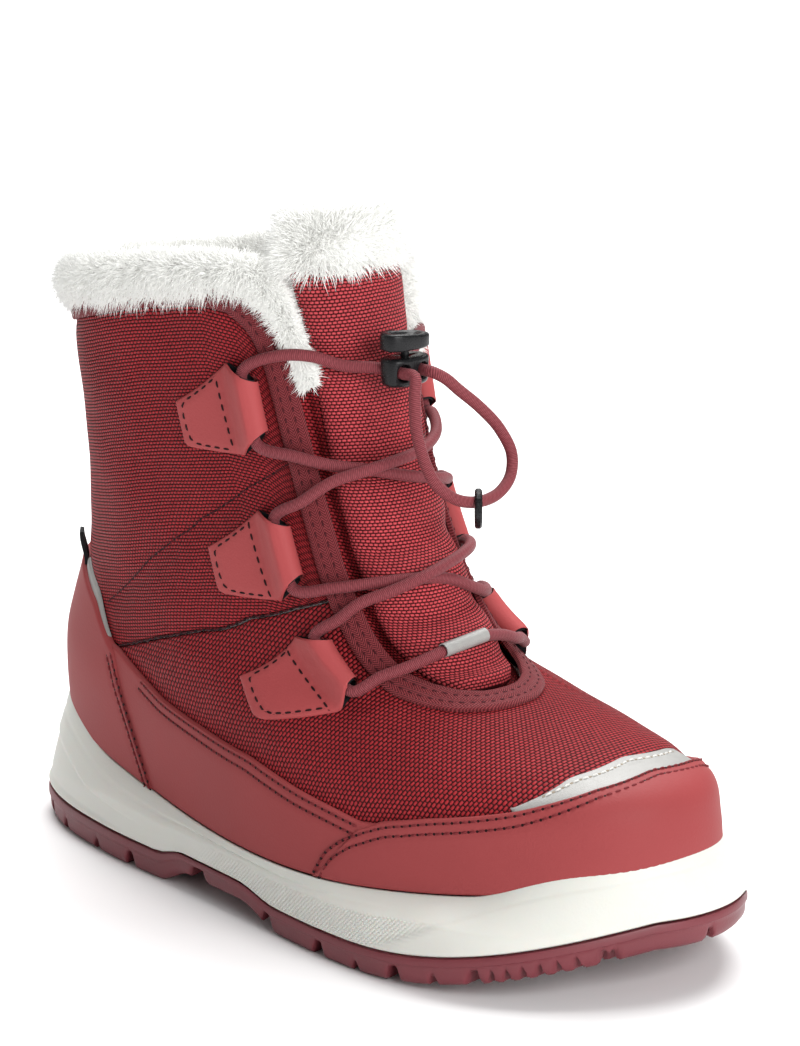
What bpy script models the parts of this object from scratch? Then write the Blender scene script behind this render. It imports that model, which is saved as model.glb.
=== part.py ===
"""A child's winter boot with elastic quick-lacing, built as separate pieces.

+X points to the toe, -Y to the outer (lateral) side and +Z up. The origin is on the ground, at
the middle of the boot's box. Lengths are named in millimetres from a datum over the arch, and the
meshes are in metres.

The upper hangs on one smooth surface. A point on it has an angle phi in degrees, 0 at the toe,
-90 on the outer side and 180 at the heel, and a level, 0 at the sole and 1 at the collar. Every
panel is a sheet between two offsets of that surface.
"""
import math

import bmesh
import bpy
import numpy as np
from mathutils import Matrix, Vector

MM = 0.001
DATUM = Vector((2.4, 1.4, 0.0))     # middle of the boot's box, in the numbers below

# Rings of the upper: level, back x, front x, back z, middle z, front z, heel half-width,
# ball half-width, sideways shift of the toe, roundness of the ring.
RINGS = np.array([
    (0.00, -98.0, 102.0, 28.3, 16.8, 27.3, 30.0, 42.0, 5.0, 2.35),
    (0.08, -99.5, 101.8, 39.3, 26.8, 37.3, 30.5, 41.8, 5.0, 2.28),
    (0.16, -98.5, 99.0, 49.3, 36.3, 44.8, 31.0, 41.0, 5.0, 2.30),
    (0.24, -95.5, 88.0, 58.3, 44.3, 48.8, 31.0, 38.5, 4.5, 2.25),
    (0.32, -92.0, 71.0, 67.3, 52.3, 51.8, 30.5, 35.5, 3.5, 2.20),
    (0.40, -89.5, 54.0, 75.3, 60.3, 55.8, 30.0, 31.5, 1.5, 2.20),
    (0.48, -88.0, 40.5, 83.3, 69.3, 63.3, 30.0, 29.5, 0.0, 2.20),
    (0.58, -86.5, 29.5, 94.3, 83.3, 77.3, 31.0, 28.5, -1.5, 2.20),
    (0.70, -86.0, 19.5, 107.3, 102.3, 97.3, 32.0, 28.0, -2.0, 2.20),
    (0.85, -86.0, 10.5, 121.3, 123.3, 122.3, 34.0, 29.0, -2.0, 2.20),
    (1.00, -86.0, 4.0, 134.3, 146.3, 148.3, 35.0, 30.0, -2.0, 2.20),
    (1.10, -86.0, 1.0, 142.3, 158.3, 164.3, 35.0, 30.0, -2.0, 2.20),
])

# The sole's outline, from the heel along the outer side to the toe and back.
SOLE_OUTLINE = np.array([
    (-101.0, 1.0), (-95.3, -16.1), (-79.8, -26.3), (-55.0, -31.9), (-25.0, -34.4), (5.0, -37.5),
    (35.0, -40.6), (60.0, -39.5), (80.0, -32.0), (95.0, -17.5), (105.0, 3.0), (103.0, 21.0),
    (88.0, 35.5), (62.0, 43.0), (35.0, 42.6), (5.0, 38.8), (-25.0, 33.0), (-55.0, 30.8),
    (-80.0, 26.5), (-96.0, 17.0),
])
SOLE_STEPS = 3            # points on each stretch of the outline
HEEL_X, SOLE_LENGTH = -102.5, 205.0
TOE_SPRING = 11.5         # rise of the ground line at the toe
WAIST_LIFT = 4.2          # rise of the tread under the arch

# Offsets of the upper's layers from its surface.
GAP = 0.3
LINING = (-4.8, -2.6)
STIFFENER, PUFF = (-2.25, -1.75), (-2.4, -1.95)
TEXTILE = (-0.9, 0.0)
OVERLAY = (0.4, 1.2)
TAPE = (0.4, 1.1)
TONGUE = (-5.0, 1.4)

SOLE_EDGE = 0.012         # level where the panels start, just above the midsole's rim
COLLAR_EDGE = 0.955
FACING_PHI = 38.0         # half angle of the front opening
COUNTER_PHI = 112.0
CAP_PHI = 79.0

# Edges of the panels as (angle from the toe, level).
SEAM = ((38, 0.590), (44.5, 0.575), (58.5, 0.545), (76, 0.495), (92.5, 0.415), (107.5, 0.34),
        (125, 0.245), (137, 0.22), (180, 0.22))
THROAT = ((0, 0.42), (20, 0.42), (30, 0.428), (36, 0.448), (37.2, 0.475), (41, 0.575))
FOXING_TOP = ((70, 0.128), (74.5, 0.145), (81, 0.165), (89, 0.195), (98.5, 0.205), (108, 0.21),
              (116.5, 0.23), (123.5, 0.245))
CAP_TOP = ((0, 0.222), (19, 0.205), (31, 0.185), (40, 0.17), (49, 0.16), (58, 0.15),
           (66, 0.135), (70, 0.115), (79, 0.1))
COUNTER_TOP = ((112, 0.2), (124.5, 0.235), (129, 0.26), (135.5, 0.30), (148, 0.325),
               (180, 0.345))
COLLAR_TOP = ((38, 0.88), (40, 0.925), (44, 0.948), (50, COLLAR_EDGE), (95, COLLAR_EDGE),
              (112, 0.942), (135, 0.925), (180, 0.922))
TONGUE_HALF = ((0.447, 15), (0.465, 21), (0.50, 27), (0.60, 30), (0.75, 30), (0.85, 28.5),
               (0.95, 27), (1.0, 28), (1.06, 29), (1.09, 25))

# Lacing hardware.
CORD_R = 1.4
CORD_HEIGHT = 3.2         # the cord's middle above the surface
CROSSING = 3.7            # extra height where one strand crosses another
LOCK = Vector((19.8, -3.5, 131.1))      # middle of the lock's body
LOCK_HALF = Vector((3.6, 6.2, 3.4))
CORD_PITCH = 3.1          # each cord from the lock's middle
BORE_R = 1.75
WELL_R, WELL_FLOOR = 1.15, -2.6
STEM_R, STEM_FOOT = 0.95, 1.9
BUTTON_GAP, BUTTON_HEIGHT = 1.7, 4.9
SPRING_R, SPRING_WIRE_R = 0.75, 0.16
RING_R, RING_HOLE_R, RING_THICK = 4.7, 3.25, 1.7
RING_HINGE = Vector((36.8, 4.0, 101.4))
SLEEVE_R, SLEEVE_BORE_R, SLEEVE_RISE = 2.2, 1.75, 1.3

# A lace loop flattened out: how far up and down it reaches at a distance back from its front.
LOOP_TOP = ((0.0, -5.4), (7.4, -11.0), (21.8, -2.6))
LOOP_BOTTOM = ((0.0, 6.4), (7.6, 12.3), (20.8, 10.8), (21.8, 8.8))
LOOPS = ((49.4, 0.846), (50.0, 0.640), (48.4, 0.479))
LOOP_BASE, LOOP_TUBE_R, LOOP_SKIN = 0.55, 2.25, 0.7

# The strands across the tongue, from the outer side to the inner, as (angle, level). The two
# rising strands cross over the two falling ones at the given angles.
TOP_RUN = ((-20, 0.915), (-29, 0.918), (-40, 0.908), (-48, 0.895))
UPPER_FALL = ((-48, 0.79), (-42, 0.773), (-30, 0.765), (-15, 0.757), (0, 0.742), (15, 0.728),
              (31, 0.71), (45, 0.69))
UPPER_RISE = ((-49, 0.685), (-43, 0.708), (-30, 0.742), (-19, 0.755), (-8, 0.764), (5, 0.772),
              (18, 0.782), (32, 0.79), (46, 0.796))
LOWER_FALL = ((-48, 0.592), (-39.5, 0.595), (-26.5, 0.606), (-10, 0.610), (4, 0.60), (16, 0.577),
              (30, 0.553), (44, 0.54))
LOWER_RISE = ((-46, 0.535), (-42, 0.55), (-34.5, 0.573), (-21.5, 0.593), (-10, 0.607), (4, 0.621),
              (18, 0.625), (32, 0.62), (45, 0.609))
UPPER_CROSSING, LOWER_CROSSING = -14, -6
LOWEST_RUN = ((-44, 0.445), (-33.5, 0.472), (-16, 0.508), (-5, 0.52), (5, 0.52), (16, 0.505),
              (31, 0.47), (44, 0.445))

# The strands into the lock's bores, and the free loop in front of it.
OUTER_ENTRY = ((2.0, -3.1, 0), (0, -3.1, 0), (-3.0, -3.2, 0), (-5.4, -4.0, 0), (-7.4, -5.7, 0))
INNER_ENTRY = ((-7.6, 10, 0), (-6.0, 5.9, 0), (-3.0, 3.3, 0), (0, 3.1, 0), (2.0, 3.1, 0))
FREE_LOOP = ((22.5, -6.6, 131.1), (26.4, -6.6, 131.0), (28.4, -8.4, 127.0), (30.6, -10.0, 120.0),
             (32.6, -9.9, 114.0), (34.6, -8.2, 108.0), (36.2, -3.4, 103.4), (36.8, 4.0, 101.4),
             (36.6, 11.2, 102.5), (35.6, 15.6, 105.6), (34.2, 17.3, 110.0), (32.3, 15.4, 115.8),
             (30.4, 10.8, 121.5), (28.7, 5.5, 126.3), (27.5, 1.4, 129.9), (26.2, -0.3, 131.0),
             (22.5, -0.4, 131.1))
TONGUE_AXIS = (50.0, 0.0, 57.5)

FINISHES = {
    "textile": ((0.30, 0.045, 0.055), 0.85, 0.0),
    "overlay": ((0.42, 0.075, 0.085), 0.55, 0.0),
    "tape": ((0.27, 0.065, 0.075), 0.85, 0.0),
    "cord": ((0.25, 0.07, 0.085), 0.75, 0.0),
    "pile": ((0.86, 0.85, 0.82), 0.95, 0.0),
    "lining": ((0.80, 0.79, 0.76), 0.95, 0.0),
    "foam": ((0.78, 0.78, 0.74), 0.6, 0.0),
    "tread": ((0.12, 0.018, 0.025), 0.55, 0.0),
    "board": ((0.30, 0.27, 0.22), 0.9, 0.0),
    "stiffener": ((0.20, 0.20, 0.20), 0.6, 0.0),
    "black": ((0.018, 0.018, 0.019), 0.42, 0.0),
    "silver": ((0.55, 0.56, 0.55), 0.35, 0.3),
    "steel": ((0.62, 0.62, 0.62), 0.3, 1.0),
}


# ---------------------------------------------------------------- objects

def clear_scene():
    """Remove every object and mesh that is already there."""
    for thing in list(bpy.data.objects):
        bpy.data.objects.remove(thing)
    for mesh in list(bpy.data.meshes):
        bpy.data.meshes.remove(mesh)


def finish_material(name):
    """The material of that name, made on its first use."""
    found = bpy.data.materials.get(name)
    if found:
        return found
    colour, roughness, metallic = FINISHES[name]
    made = bpy.data.materials.new(name)
    made.use_nodes = True
    shader = made.node_tree.nodes["Principled BSDF"]
    shader.inputs["Base Color"].default_value = (*colour, 1.0)
    shader.inputs["Roughness"].default_value = roughness
    shader.inputs["Metallic"].default_value = metallic
    return made


def to_metres(point):
    """A point in millimetres from the datum, as metres from the origin."""
    return (Vector(point) - DATUM) * MM


def add_solid(name, points, faces, finish):
    """A named object from points in millimetres, with its faces turned outwards."""
    mesh = bpy.data.meshes.new(name)
    mesh.from_pydata([to_metres(p) for p in points], [], faces)
    work = bmesh.new()
    work.from_mesh(mesh)
    bmesh.ops.recalc_face_normals(work, faces=work.faces)
    work.to_mesh(mesh)
    work.free()
    mesh.shade_smooth()
    mesh.set_sharp_from_angle(angle=math.radians(35))
    solid = bpy.data.objects.new(name, mesh)
    solid.data.materials.append(finish_material(finish))
    bpy.context.collection.objects.link(solid)
    return solid


def add_cutter(name, points, faces):
    """A hidden solid that a Boolean takes away."""
    cutter = add_solid(name, points, faces, "steel")
    cutter.hide_render = True
    cutter.display_type = "WIRE"
    return cutter


def cut(solid, cutter):
    """Take the cutter away from the solid."""
    modifier = solid.modifiers.new(cutter.name, "BOOLEAN")
    modifier.operation = "DIFFERENCE"
    modifier.solver = "EXACT"
    modifier.object = cutter


def set_pivot(solid, pivot):
    """Move the object's origin to a joint axis, leaving its mesh where it is."""
    place = to_metres(pivot)
    solid.data.transform(Matrix.Translation(-place))
    solid.location = place


def loft(rings, closed_ends=True, joined=False):
    """Faces between equal rings of points; the ends are capped, or joined into a loop."""
    count = len(rings[0])
    points = [p for ring in rings for p in ring]
    faces = []
    last = len(rings) if joined else len(rings) - 1
    for i in range(last):
        a, b = i * count, ((i + 1) % len(rings)) * count
        for j in range(count):
            k = (j + 1) % count
            faces.append((a + j, a + k, b + k, b + j))
    if closed_ends and not joined:
        faces.append(tuple(range(count)))
        faces.append(tuple(range(len(points) - count, len(points))))
    return points, faces


def box_mesh(centre, half, turn=0.0):
    """The points and faces of a box, turned about Z by an angle in degrees."""
    spin = Matrix.Rotation(math.radians(turn), 3, "Z")
    ring = ((-1, -1), (1, -1), (1, 1), (-1, 1))
    rings = [[Vector(centre) + spin @ Vector((half[0] * x, half[1] * y, half[2] * z))
              for x, y in ring] for z in (-1, 1)]
    return loft(rings)


def merge_meshes(parts):
    """Several point and face lists as one."""
    points, faces = [], []
    for part_points, part_faces in parts:
        start = len(points)
        points += list(part_points)
        faces += [tuple(start + i for i in face) for face in part_faces]
    return points, faces


# ---------------------------------------------------------------- the boot's surface

def spline(knots, values, at):
    """A smooth cubic through values at the knots."""
    step = np.diff(knots)
    slope = np.diff(values) / step
    tangent = np.empty_like(values)
    tangent[1:-1] = (slope[:-1] * step[1:] + slope[1:] * step[:-1]) / (step[1:] + step[:-1])
    tangent[0], tangent[-1] = slope[0], slope[-1]
    i = np.clip(np.searchsorted(knots, at, side="right") - 1, 0, len(step) - 1)
    h = step[i]
    s = (at - knots[i]) / h
    return ((2 * s**3 - 3 * s**2 + 1) * values[i] + (s**3 - 2 * s**2 + s) * h * tangent[i]
            + (3 * s**2 - 2 * s**3) * values[i + 1] + (s**3 - s**2) * h * tangent[i + 1])


def ease(share):
    """A smooth step from 0 to 1."""
    share = np.clip(share, 0, 1)
    return share * share * (3 - 2 * share)


def bare_surface(phi, level):
    """Points on the upper's surface, for angles in degrees and levels."""
    phi, level = np.broadcast_arrays(np.asarray(phi, float), np.asarray(level, float))
    rows = [spline(RINGS[:, 0], RINGS[:, k], level) for k in range(1, 10)]
    back, front, z_back, z_mid, z_front, w_heel, w_ball, shift, power = rows
    c, s = np.cos(np.radians(phi)), np.sin(np.radians(phi))
    along = (np.sign(c) * np.abs(c) ** (2 / power) + 1) / 2
    across = np.sign(s) * np.abs(s) ** (2 / power)
    x = back + (front - back) * along
    y = across * (w_heel + (w_ball - w_heel) * ease((along - 0.2) / 0.5))
    y = y + shift * ease((along - 0.3) / 0.7)
    z = (z_back * (along - 0.6) * (along - 1) / 0.6 + z_mid * along * (1 - along) / 0.24
         + z_front * along * (along - 0.6) / 0.4)
    return np.stack([x, y, z], -1)


def surface_frame(phi, level):
    """The surface's points, its unit normals and its two unnormalised tangents."""
    turn, rise = 0.5, 0.004
    phi = np.asarray(phi, float)
    around = bare_surface(phi + turn, level) - bare_surface(phi - turn, level)
    upward = bare_surface(phi, level + rise) - bare_surface(phi, level - rise)
    normal = np.cross(around, upward)
    normal /= np.linalg.norm(normal, axis=-1)[..., None]
    return bare_surface(phi, level), normal, around / (2 * turn), upward / (2 * rise)


def surface(phi, level, offset=0.0):
    """Points at a distance outside the surface."""
    point, normal, _, _ = surface_frame(phi, level)
    return point + normal * np.asarray(offset)[..., None]


def fold(phi):
    """An angle's distance from the toe, 0 to 180."""
    return np.abs((np.asarray(phi) + 180) % 360 - 180)


def edge(points):
    """A panel's edge: the level at an angle, read between the given points."""
    angles, levels = zip(*points)
    return lambda phi: np.interp(fold(phi), angles, levels)


def sheet(name, finish, ends, low, high, grid, offsets, closed=False):
    """A panel between two edges and two offsets; each end slants from its bottom to its top.

    The grid is its numbers of columns and rows, or where they lie from 0 to 1.
    """
    columns, rows = (np.linspace(0, 1, n + 1) if isinstance(n, int) else n for n in grid)
    (start_low, start_high), (end_low, end_high) = ends
    up = rows[:, None]
    along = columns[None, :-1 if closed else None]
    first = start_low + (start_high - start_low) * up
    last = end_low + (end_high - end_low) * up
    phi = first + (last - first) * along
    level = low(phi) + (high(phi) - low(phi)) * up
    skins = [surface(phi, level, offset) for offset in offsets]
    return add_solid(name, *sheet_mesh(skins, closed), finish)


def sheet_mesh(skins, closed):
    """Points and faces of a closed sheet with an inner and an outer skin."""
    rows, columns = skins[0].shape[:2]
    size = rows * columns
    points = [tuple(p) for skin in skins for p in skin.reshape(-1, 3)]
    last = columns if closed else columns - 1

    def at(skin, row, column):
        return skin * size + row * columns + column % columns

    faces = []
    for row in range(rows - 1):
        for col in range(last):
            for skin in (0, 1):
                faces.append((at(skin, row, col), at(skin, row, col + 1),
                              at(skin, row + 1, col + 1), at(skin, row + 1, col)))
    for col in range(last):
        for row in (0, rows - 1):
            faces.append((at(0, row, col), at(0, row, col + 1), at(1, row, col + 1),
                          at(1, row, col)))
    if not closed:
        for row in range(rows - 1):
            for col in (0, columns - 1):
                faces.append((at(0, row, col), at(0, row + 1, col), at(1, row + 1, col),
                              at(1, row, col)))
    return points, faces


def ribbon(name, finish, path, section, scales=None, steps=2):
    """A section swept along a path on the surface; the section is (sideways, outwards)."""
    path = np.array(path, float)
    knots = np.arange(len(path), dtype=float)
    at = np.linspace(0, len(path) - 1, steps * (len(path) - 1) + 1)
    phi, level = (spline(knots, path[:, k], at) for k in (0, 1))
    scale = np.ones_like(at) if scales is None else np.interp(at, knots, scales)
    point, normal, around, upward = surface_frame(phi, level)
    side = np.cross(normal, np.gradient(point, axis=0))
    side /= np.linalg.norm(side, axis=1)[:, None]
    rings = []
    for i, size in enumerate(scale):
        step = np.linalg.pinv(np.column_stack([around[i], upward[i]])) @ side[i]
        rings.append([surface(phi[i] + step[0] * a * size, level[i] + step[1] * a * size, b * size)
                      for a, b in section])
    return add_solid(name, *loft(rings), finish)


def mirrored(path):
    """A path down the outer side, carried on round to the inner side."""
    return list(path) + [(-phi, level) for phi, level in reversed(path) if phi != 0]


# ---------------------------------------------------------------- sole

def sole_outline(grow):
    """The smooth outline, grown outwards."""
    knots = SOLE_OUTLINE
    count = len(knots)
    points = []
    for i in range(count):
        a, b, c, d = (knots[(i + k) % count] for k in (-1, 0, 1, 2))
        for step in range(SOLE_STEPS):
            t = step / SOLE_STEPS
            points.append(0.5 * (2 * b + (c - a) * t + (2 * a - 5 * b + 4 * c - d) * t**2
                                 + (3 * b - a - 3 * c + d) * t**3))
    points = np.array(points)
    along = np.roll(points, -1, 0) - np.roll(points, 1, 0)
    along /= np.linalg.norm(along, axis=1)[:, None]
    return points + np.column_stack([along[:, 1], -along[:, 0]]) * grow


def spring(x):
    """Rise of the toe above the ground."""
    return TOE_SPRING * np.clip(((x - HEEL_X) / SOLE_LENGTH - 0.7) / 0.3, 0, 1) ** 2


def feather(x):
    """Height of the upper's lowest ring."""
    _, back, front, z_back, z_mid, z_front = RINGS[0, :6]
    u = np.clip((x - back) / (front - back), 0, 1)
    return (z_back * (u - 0.6) * (u - 1) / 0.6 + z_mid * u * (1 - u) / 0.24
            + z_front * u * (u - 0.6) / 0.4)


def rim_lift(x):
    """How far the midsole's rim climbs over the toe and the heel."""
    return 3.6 * ease((x - 72) / 22) + 3.0 * ease((-62 - x) / 28)


def waist(x):
    """1 under the arch and 0 under the heel and the ball."""
    return ease((x + 34) / 12) * ease((16 - x) / 16)


def midsole_bottom(x):
    """Height where the midsole meets the tread."""
    heel, ball = 7.8, 6.8
    return heel + (ball - heel) * np.clip((x - HEEL_X) / 120, 0, 1) + spring(x) + 2.5 * waist(x)


def tread_bottom(x):
    """Height of the tread's underside before its grooves."""
    return spring(x) + WAIST_LIFT * waist(x)


def outline_ring(grow, height):
    """A ring of the sole at a height that is a function of x."""
    flat = sole_outline(grow)
    return [(x, y, float(height(np.array(x)))) for x, y in flat]


def capped(rings):
    """Rings joined by faces and closed across with strips, which follow the sole's curve."""
    points, faces = loft(rings, closed_ends=False)
    count = len(rings[0])
    for start in (0, len(points) - count):
        half = count // 2
        faces.append((start, start + 1, start + count - 1))
        for i in range(1, half - 1):
            faces.append((start + i, start + i + 1, start + count - i - 1, start + count - i))
        faces.append((start + half - 1, start + half, start + half + 1))
    return points, faces


def make_outsole():
    """The rubber tread, with lugs parted by grooves."""
    rings = [outline_ring(1.0, tread_bottom), outline_ring(2.0, lambda x: tread_bottom(x) + 2),
             outline_ring(2.3, lambda x: midsole_bottom(x) - GAP)]
    tread = add_solid("outsole", *capped(rings), "tread")
    depth = 2.6
    grooves = []
    for x, width, turn in ((-86, 2.4, -6), (-76, 2.4, -6), (-45, 3.2, -6), (11, 3.6, 8),
                           (31, 3.4, 8), (56, 3.4, 8), (77, 3.2, 8)):
        height = float(tread_bottom(np.array(x)))
        grooves.append(box_mesh((x, 0, height), (width / 2, 60, depth), turn))
    cut(tread, add_cutter("groove_cutter", *merge_meshes(grooves)))
    return tread


def make_midsole():
    """The foam sole, flared at the heel, with a shallow bed for the upper."""
    rings = [outline_ring(2.6, midsole_bottom),
             outline_ring(2.8, lambda x: midsole_bottom(x) + 3),
             outline_ring(2.4, lambda x: feather(x) - 6),
             outline_ring(1.1, lambda x: feather(x) + 0.3 + rim_lift(x)),
             outline_ring(0.7, lambda x: feather(x) + 0.9 + rim_lift(x)),
             outline_ring(0.2, lambda x: feather(x) + 0.9 + rim_lift(x)),
             outline_ring(-0.4, lambda x: feather(x) - 0.4)]
    return add_solid("midsole", *capped(rings), "foam")


def make_insole(name, finish, inset, low, high):
    """A flat board or footbed inside the upper's lowest ring."""
    angles = np.arange(0, 360, 7.5)
    rim = surface(angles, 0.0, -inset)
    rings = [[(x, y, z + lift) for x, y, z in rim] for lift in (low, high)]
    return add_solid(name, *capped(rings), finish)


# ---------------------------------------------------------------- upper

def make_uppers():
    """The textile panels and what lines and stiffens them."""
    flat = edge(((0, SOLE_EDGE), (180, SOLE_EDGE)))
    seam, vamp_top = edge(SEAM), edge(THROAT + tuple((a, level - 0.003) for a, level in SEAM[1:]))
    half = np.concatenate([(0, 6, 12, 18, 24, 29, 33, 36), np.arange(37.2, 42, 0.95),
                           np.linspace(46, 137, 16)])
    columns = np.concatenate([-half[:0:-1], half]) / 274 + 0.5
    rows = np.array((0, 0.17, 0.33, 0.47, 0.58, 0.67, 0.75, 0.83, 0.91, 1))
    sheet("vamp", "textile", ((-137, -137), (137, 137)), flat, vamp_top, (columns, rows), TEXTILE)
    quarter_low = lambda phi: seam(phi) + 0.003
    for side, sign in (("lateral", -1), ("medial", 1)):
        ends = ((sign * FACING_PHI, sign * FACING_PHI), (sign * 179.5, sign * 179.5))
        sheet("quarter_" + side, "textile", ends, quarter_low, edge(COLLAR_TOP), (18, 7), TEXTILE)
    sheet("vamp_lining", "lining", ((0, 0), (360, 360)), flat,
          edge(((0, 0.40), (40, 0.40), (180, 0.40))), (40, 4), LINING, closed=True)
    sheet("quarter_lining", "lining", ((-43, -43), (-317, -317)),
          edge(((0, 0.406), (180, 0.406))), edge(((0, 0.94), (180, 0.94))), (26, 4), LINING)
    sheet("heel_stiffener", "stiffener", ((-118, -130), (-242, -230)), flat,
          edge(((0, 0.26), (130, 0.26), (180, 0.30))), (16, 4), STIFFENER)
    sheet("toe_puff", "stiffener", ((-70, -60), (70, 60)), flat,
          edge(((0, 0.20), (40, 0.16), (70, 0.12), (180, 0.12))), (20, 4), PUFF)


def make_overlays():
    """The coated panels round the foot, and the reflective trims."""
    flat = edge(((0, SOLE_EDGE), (180, SOLE_EDGE)))
    slant = 9.0
    for side, sign in (("lateral", -1), ("medial", 1)):
        ends = ((sign * (CAP_PHI + 0.7), sign * (CAP_PHI - slant + 0.7)),
                (sign * (COUNTER_PHI - 0.7), sign * (COUNTER_PHI + 10.6)))
        sheet("mudguard_" + side, "overlay", ends, flat, edge(FOXING_TOP), (10, 3), OVERLAY)
    sheet("toe_cap", "overlay", ((-CAP_PHI, slant - CAP_PHI), (CAP_PHI, CAP_PHI - slant)), flat,
          edge(CAP_TOP), (26, 5), OVERLAY)
    sheet("heel_counter", "overlay",
          ((-COUNTER_PHI, -COUNTER_PHI - 12.5), (-360 + COUNTER_PHI, -347.5 + COUNTER_PHI)), flat,
          edge(COUNTER_TOP), (18, 5), OVERLAY)
    cap_top = edge(CAP_TOP)
    crescent = edge(((0, 0.040), (22, 0.036), (40, 0.006), (180, 0.006)))
    sheet("toe_reflective_strip", "silver", ((-38, -38), (30, 30)), lambda phi: cap_top(phi) + 0.004,
          lambda phi: cap_top(phi) + 0.006 + crescent(phi), (12, 2), (0.35, 0.75))


def make_heel_trims():
    """A reflective strip along the counter's edge and the side tag behind it."""
    counter_top = edge(COUNTER_TOP)
    sheet("heel_reflective_trim", "silver", ((-130, -129), (-150, -150)),
          lambda phi: counter_top(phi) + 0.004, lambda phi: counter_top(phi) + 0.022,
          (6, 1), (0.35, 0.75))
    sheet("heel_tag", "black", ((-150.5, -152.5), (-158, -156)),
          lambda phi: counter_top(phi) + 0.004, lambda phi: counter_top(phi) + 0.075,
          (2, 3), (0.4, 1.3))


def make_bindings():
    """Woven tapes round the front opening and under the pile."""
    half = 2.7
    strip = ((-half, TAPE[0]), (half, TAPE[0]), (half, TAPE[1]), (-half, TAPE[1]))
    outer_side = [(-41.3, 0.930), (-38.6, 0.90), (-38.8, 0.84), (-39.4, 0.77), (-40.2, 0.69),
                  (-40.5, 0.61), (-39.6, 0.54), (-38.6, 0.49), (-36.5, 0.452), (-31, 0.433),
                  (-22, 0.423), (-11, 0.42), (0, 0.42)]
    ribbon("throat_binding", "tape", mirrored(outer_side), strip)
    below = edge(((0, 0.932), (95, 0.932), (112, 0.917), (135, 0.897), (180, 0.893)))
    collar = [(phi, float(below(phi))) for phi in np.linspace(-46, -314, 21)]
    ribbon("collar_binding", "tape", collar, [(a * 0.85, b) for a, b in strip], steps=2)


def make_pile():
    """The pile round the collar and on top of the tongue."""
    section = [(7.2 * math.cos(a), 1.2 + 5.6 * math.sin(a)) for a in np.radians(range(0, 360, 45))]
    tail = [(-31.4, 0.80), (-31.3, 0.86), (-32.0, 0.92), (-36.5, 0.985), (-46, 1.012)]
    height = edge(((0, 1.012), (95, 1.012), (112, 1.016), (180, 1.02)))
    around = [(phi, float(height(phi))) for phi in np.linspace(-60, -300, 15)]
    other = [(-360 - phi, level) for phi, level in reversed(tail)]
    scales = [0.1, 0.19, 0.2, 0.55, 0.9] + [1.0] * 15 + [0.9, 0.55, 0.2, 0.19, 0.1]
    ribbon("collar_fur", "pile", tail + around + other, section, scales)


def make_tongue():
    """The padded tongue, its pile top and the two gussets beside it."""
    levels = [level for level, _ in TONGUE_HALF]
    halves = [half for _, half in TONGUE_HALF]
    rows = np.linspace(levels[0], 1.035, 13)
    skins = tongue_skins(rows, levels, halves, TONGUE)
    tongue = add_solid("tongue", *sheet_mesh(skins, False), "textile")
    top = np.linspace(1.04, levels[-1], 4)
    crown = add_solid("tongue_fur", *sheet_mesh(tongue_skins(top, levels, halves, (-8.5, 2.4)),
                                                False), "pile")
    for solid in (tongue, crown):
        set_pivot(solid, TONGUE_AXIS)
    for side, sign in (("lateral", -1), ("medial", 1)):
        outer = np.array([40.5] * 7)
        inner = np.interp(np.linspace(0.47, 0.78, 7), levels, halves) + 2.3
        rows = np.linspace(0.47, 0.78, 7)[:, None]
        share = np.linspace(0, 1, 4)[None, :]
        phi = sign * (inner[:, None] + (outer - inner)[:, None] * share)
        skins = [surface(phi, rows + 0 * phi, offset) for offset in (-2.0, -1.4)]
        add_solid("tongue_gusset_" + side, *sheet_mesh(skins, False), "textile")


def tongue_skins(rows, levels, halves, offsets):
    """The tongue's back and front, its edges rounded towards the middle of its thickness."""
    half = np.interp(rows, levels, halves)[:, None]
    share = np.linspace(-1, 1, 11)[None, :]
    phi = half * share
    middle = sum(offsets) / 2
    round_off = np.sqrt(np.clip(1 - np.abs(share) ** 4 * 0.85, 0, 1)) + 0 * phi
    return [surface(phi, rows[:, None] + 0 * phi, middle + (offset - middle) * round_off)
            for offset in offsets]


# ---------------------------------------------------------------- lacing

def loop_map(phi, level):
    """A map from a loop's flat outline to the boot: back, down and outwards in millimetres."""
    _, _, around, upward = surface_frame(phi, level)
    down = -upward / np.linalg.norm(upward)
    back = around * (1.0 if phi > 0 else -1.0)
    back -= down * float(back @ down)
    back /= np.linalg.norm(back)
    inverse = np.linalg.pinv(np.column_stack([around, upward]))

    def place(backwards, downwards, outwards):
        step = inverse @ (back * backwards + down * downwards)
        return tuple(surface(phi + step[0], level + step[1], outwards))

    return place


def loop_profile():
    """A loop's section as (back, out) points: its outer edge, then the edge of its tube."""
    low = LOOP_BASE
    middle = LOOP_TUBE_R + LOOP_SKIN
    turns = [math.pi * i / 8 for i in range(9)]
    arc = [[(middle - r * math.sin(a), low + middle - r * math.cos(a)) for a in turns]
           for r in (middle, LOOP_TUBE_R)]
    under = [(21.8, low), (15.0, low), (8.0, low)]
    over = [(8.0, low + 1.7), (15.0, low + 1.4), (21.8, low + 1.4)]
    return under + arc[0] + over, [(7.0, low + 0.85)] + arc[1]


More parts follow.
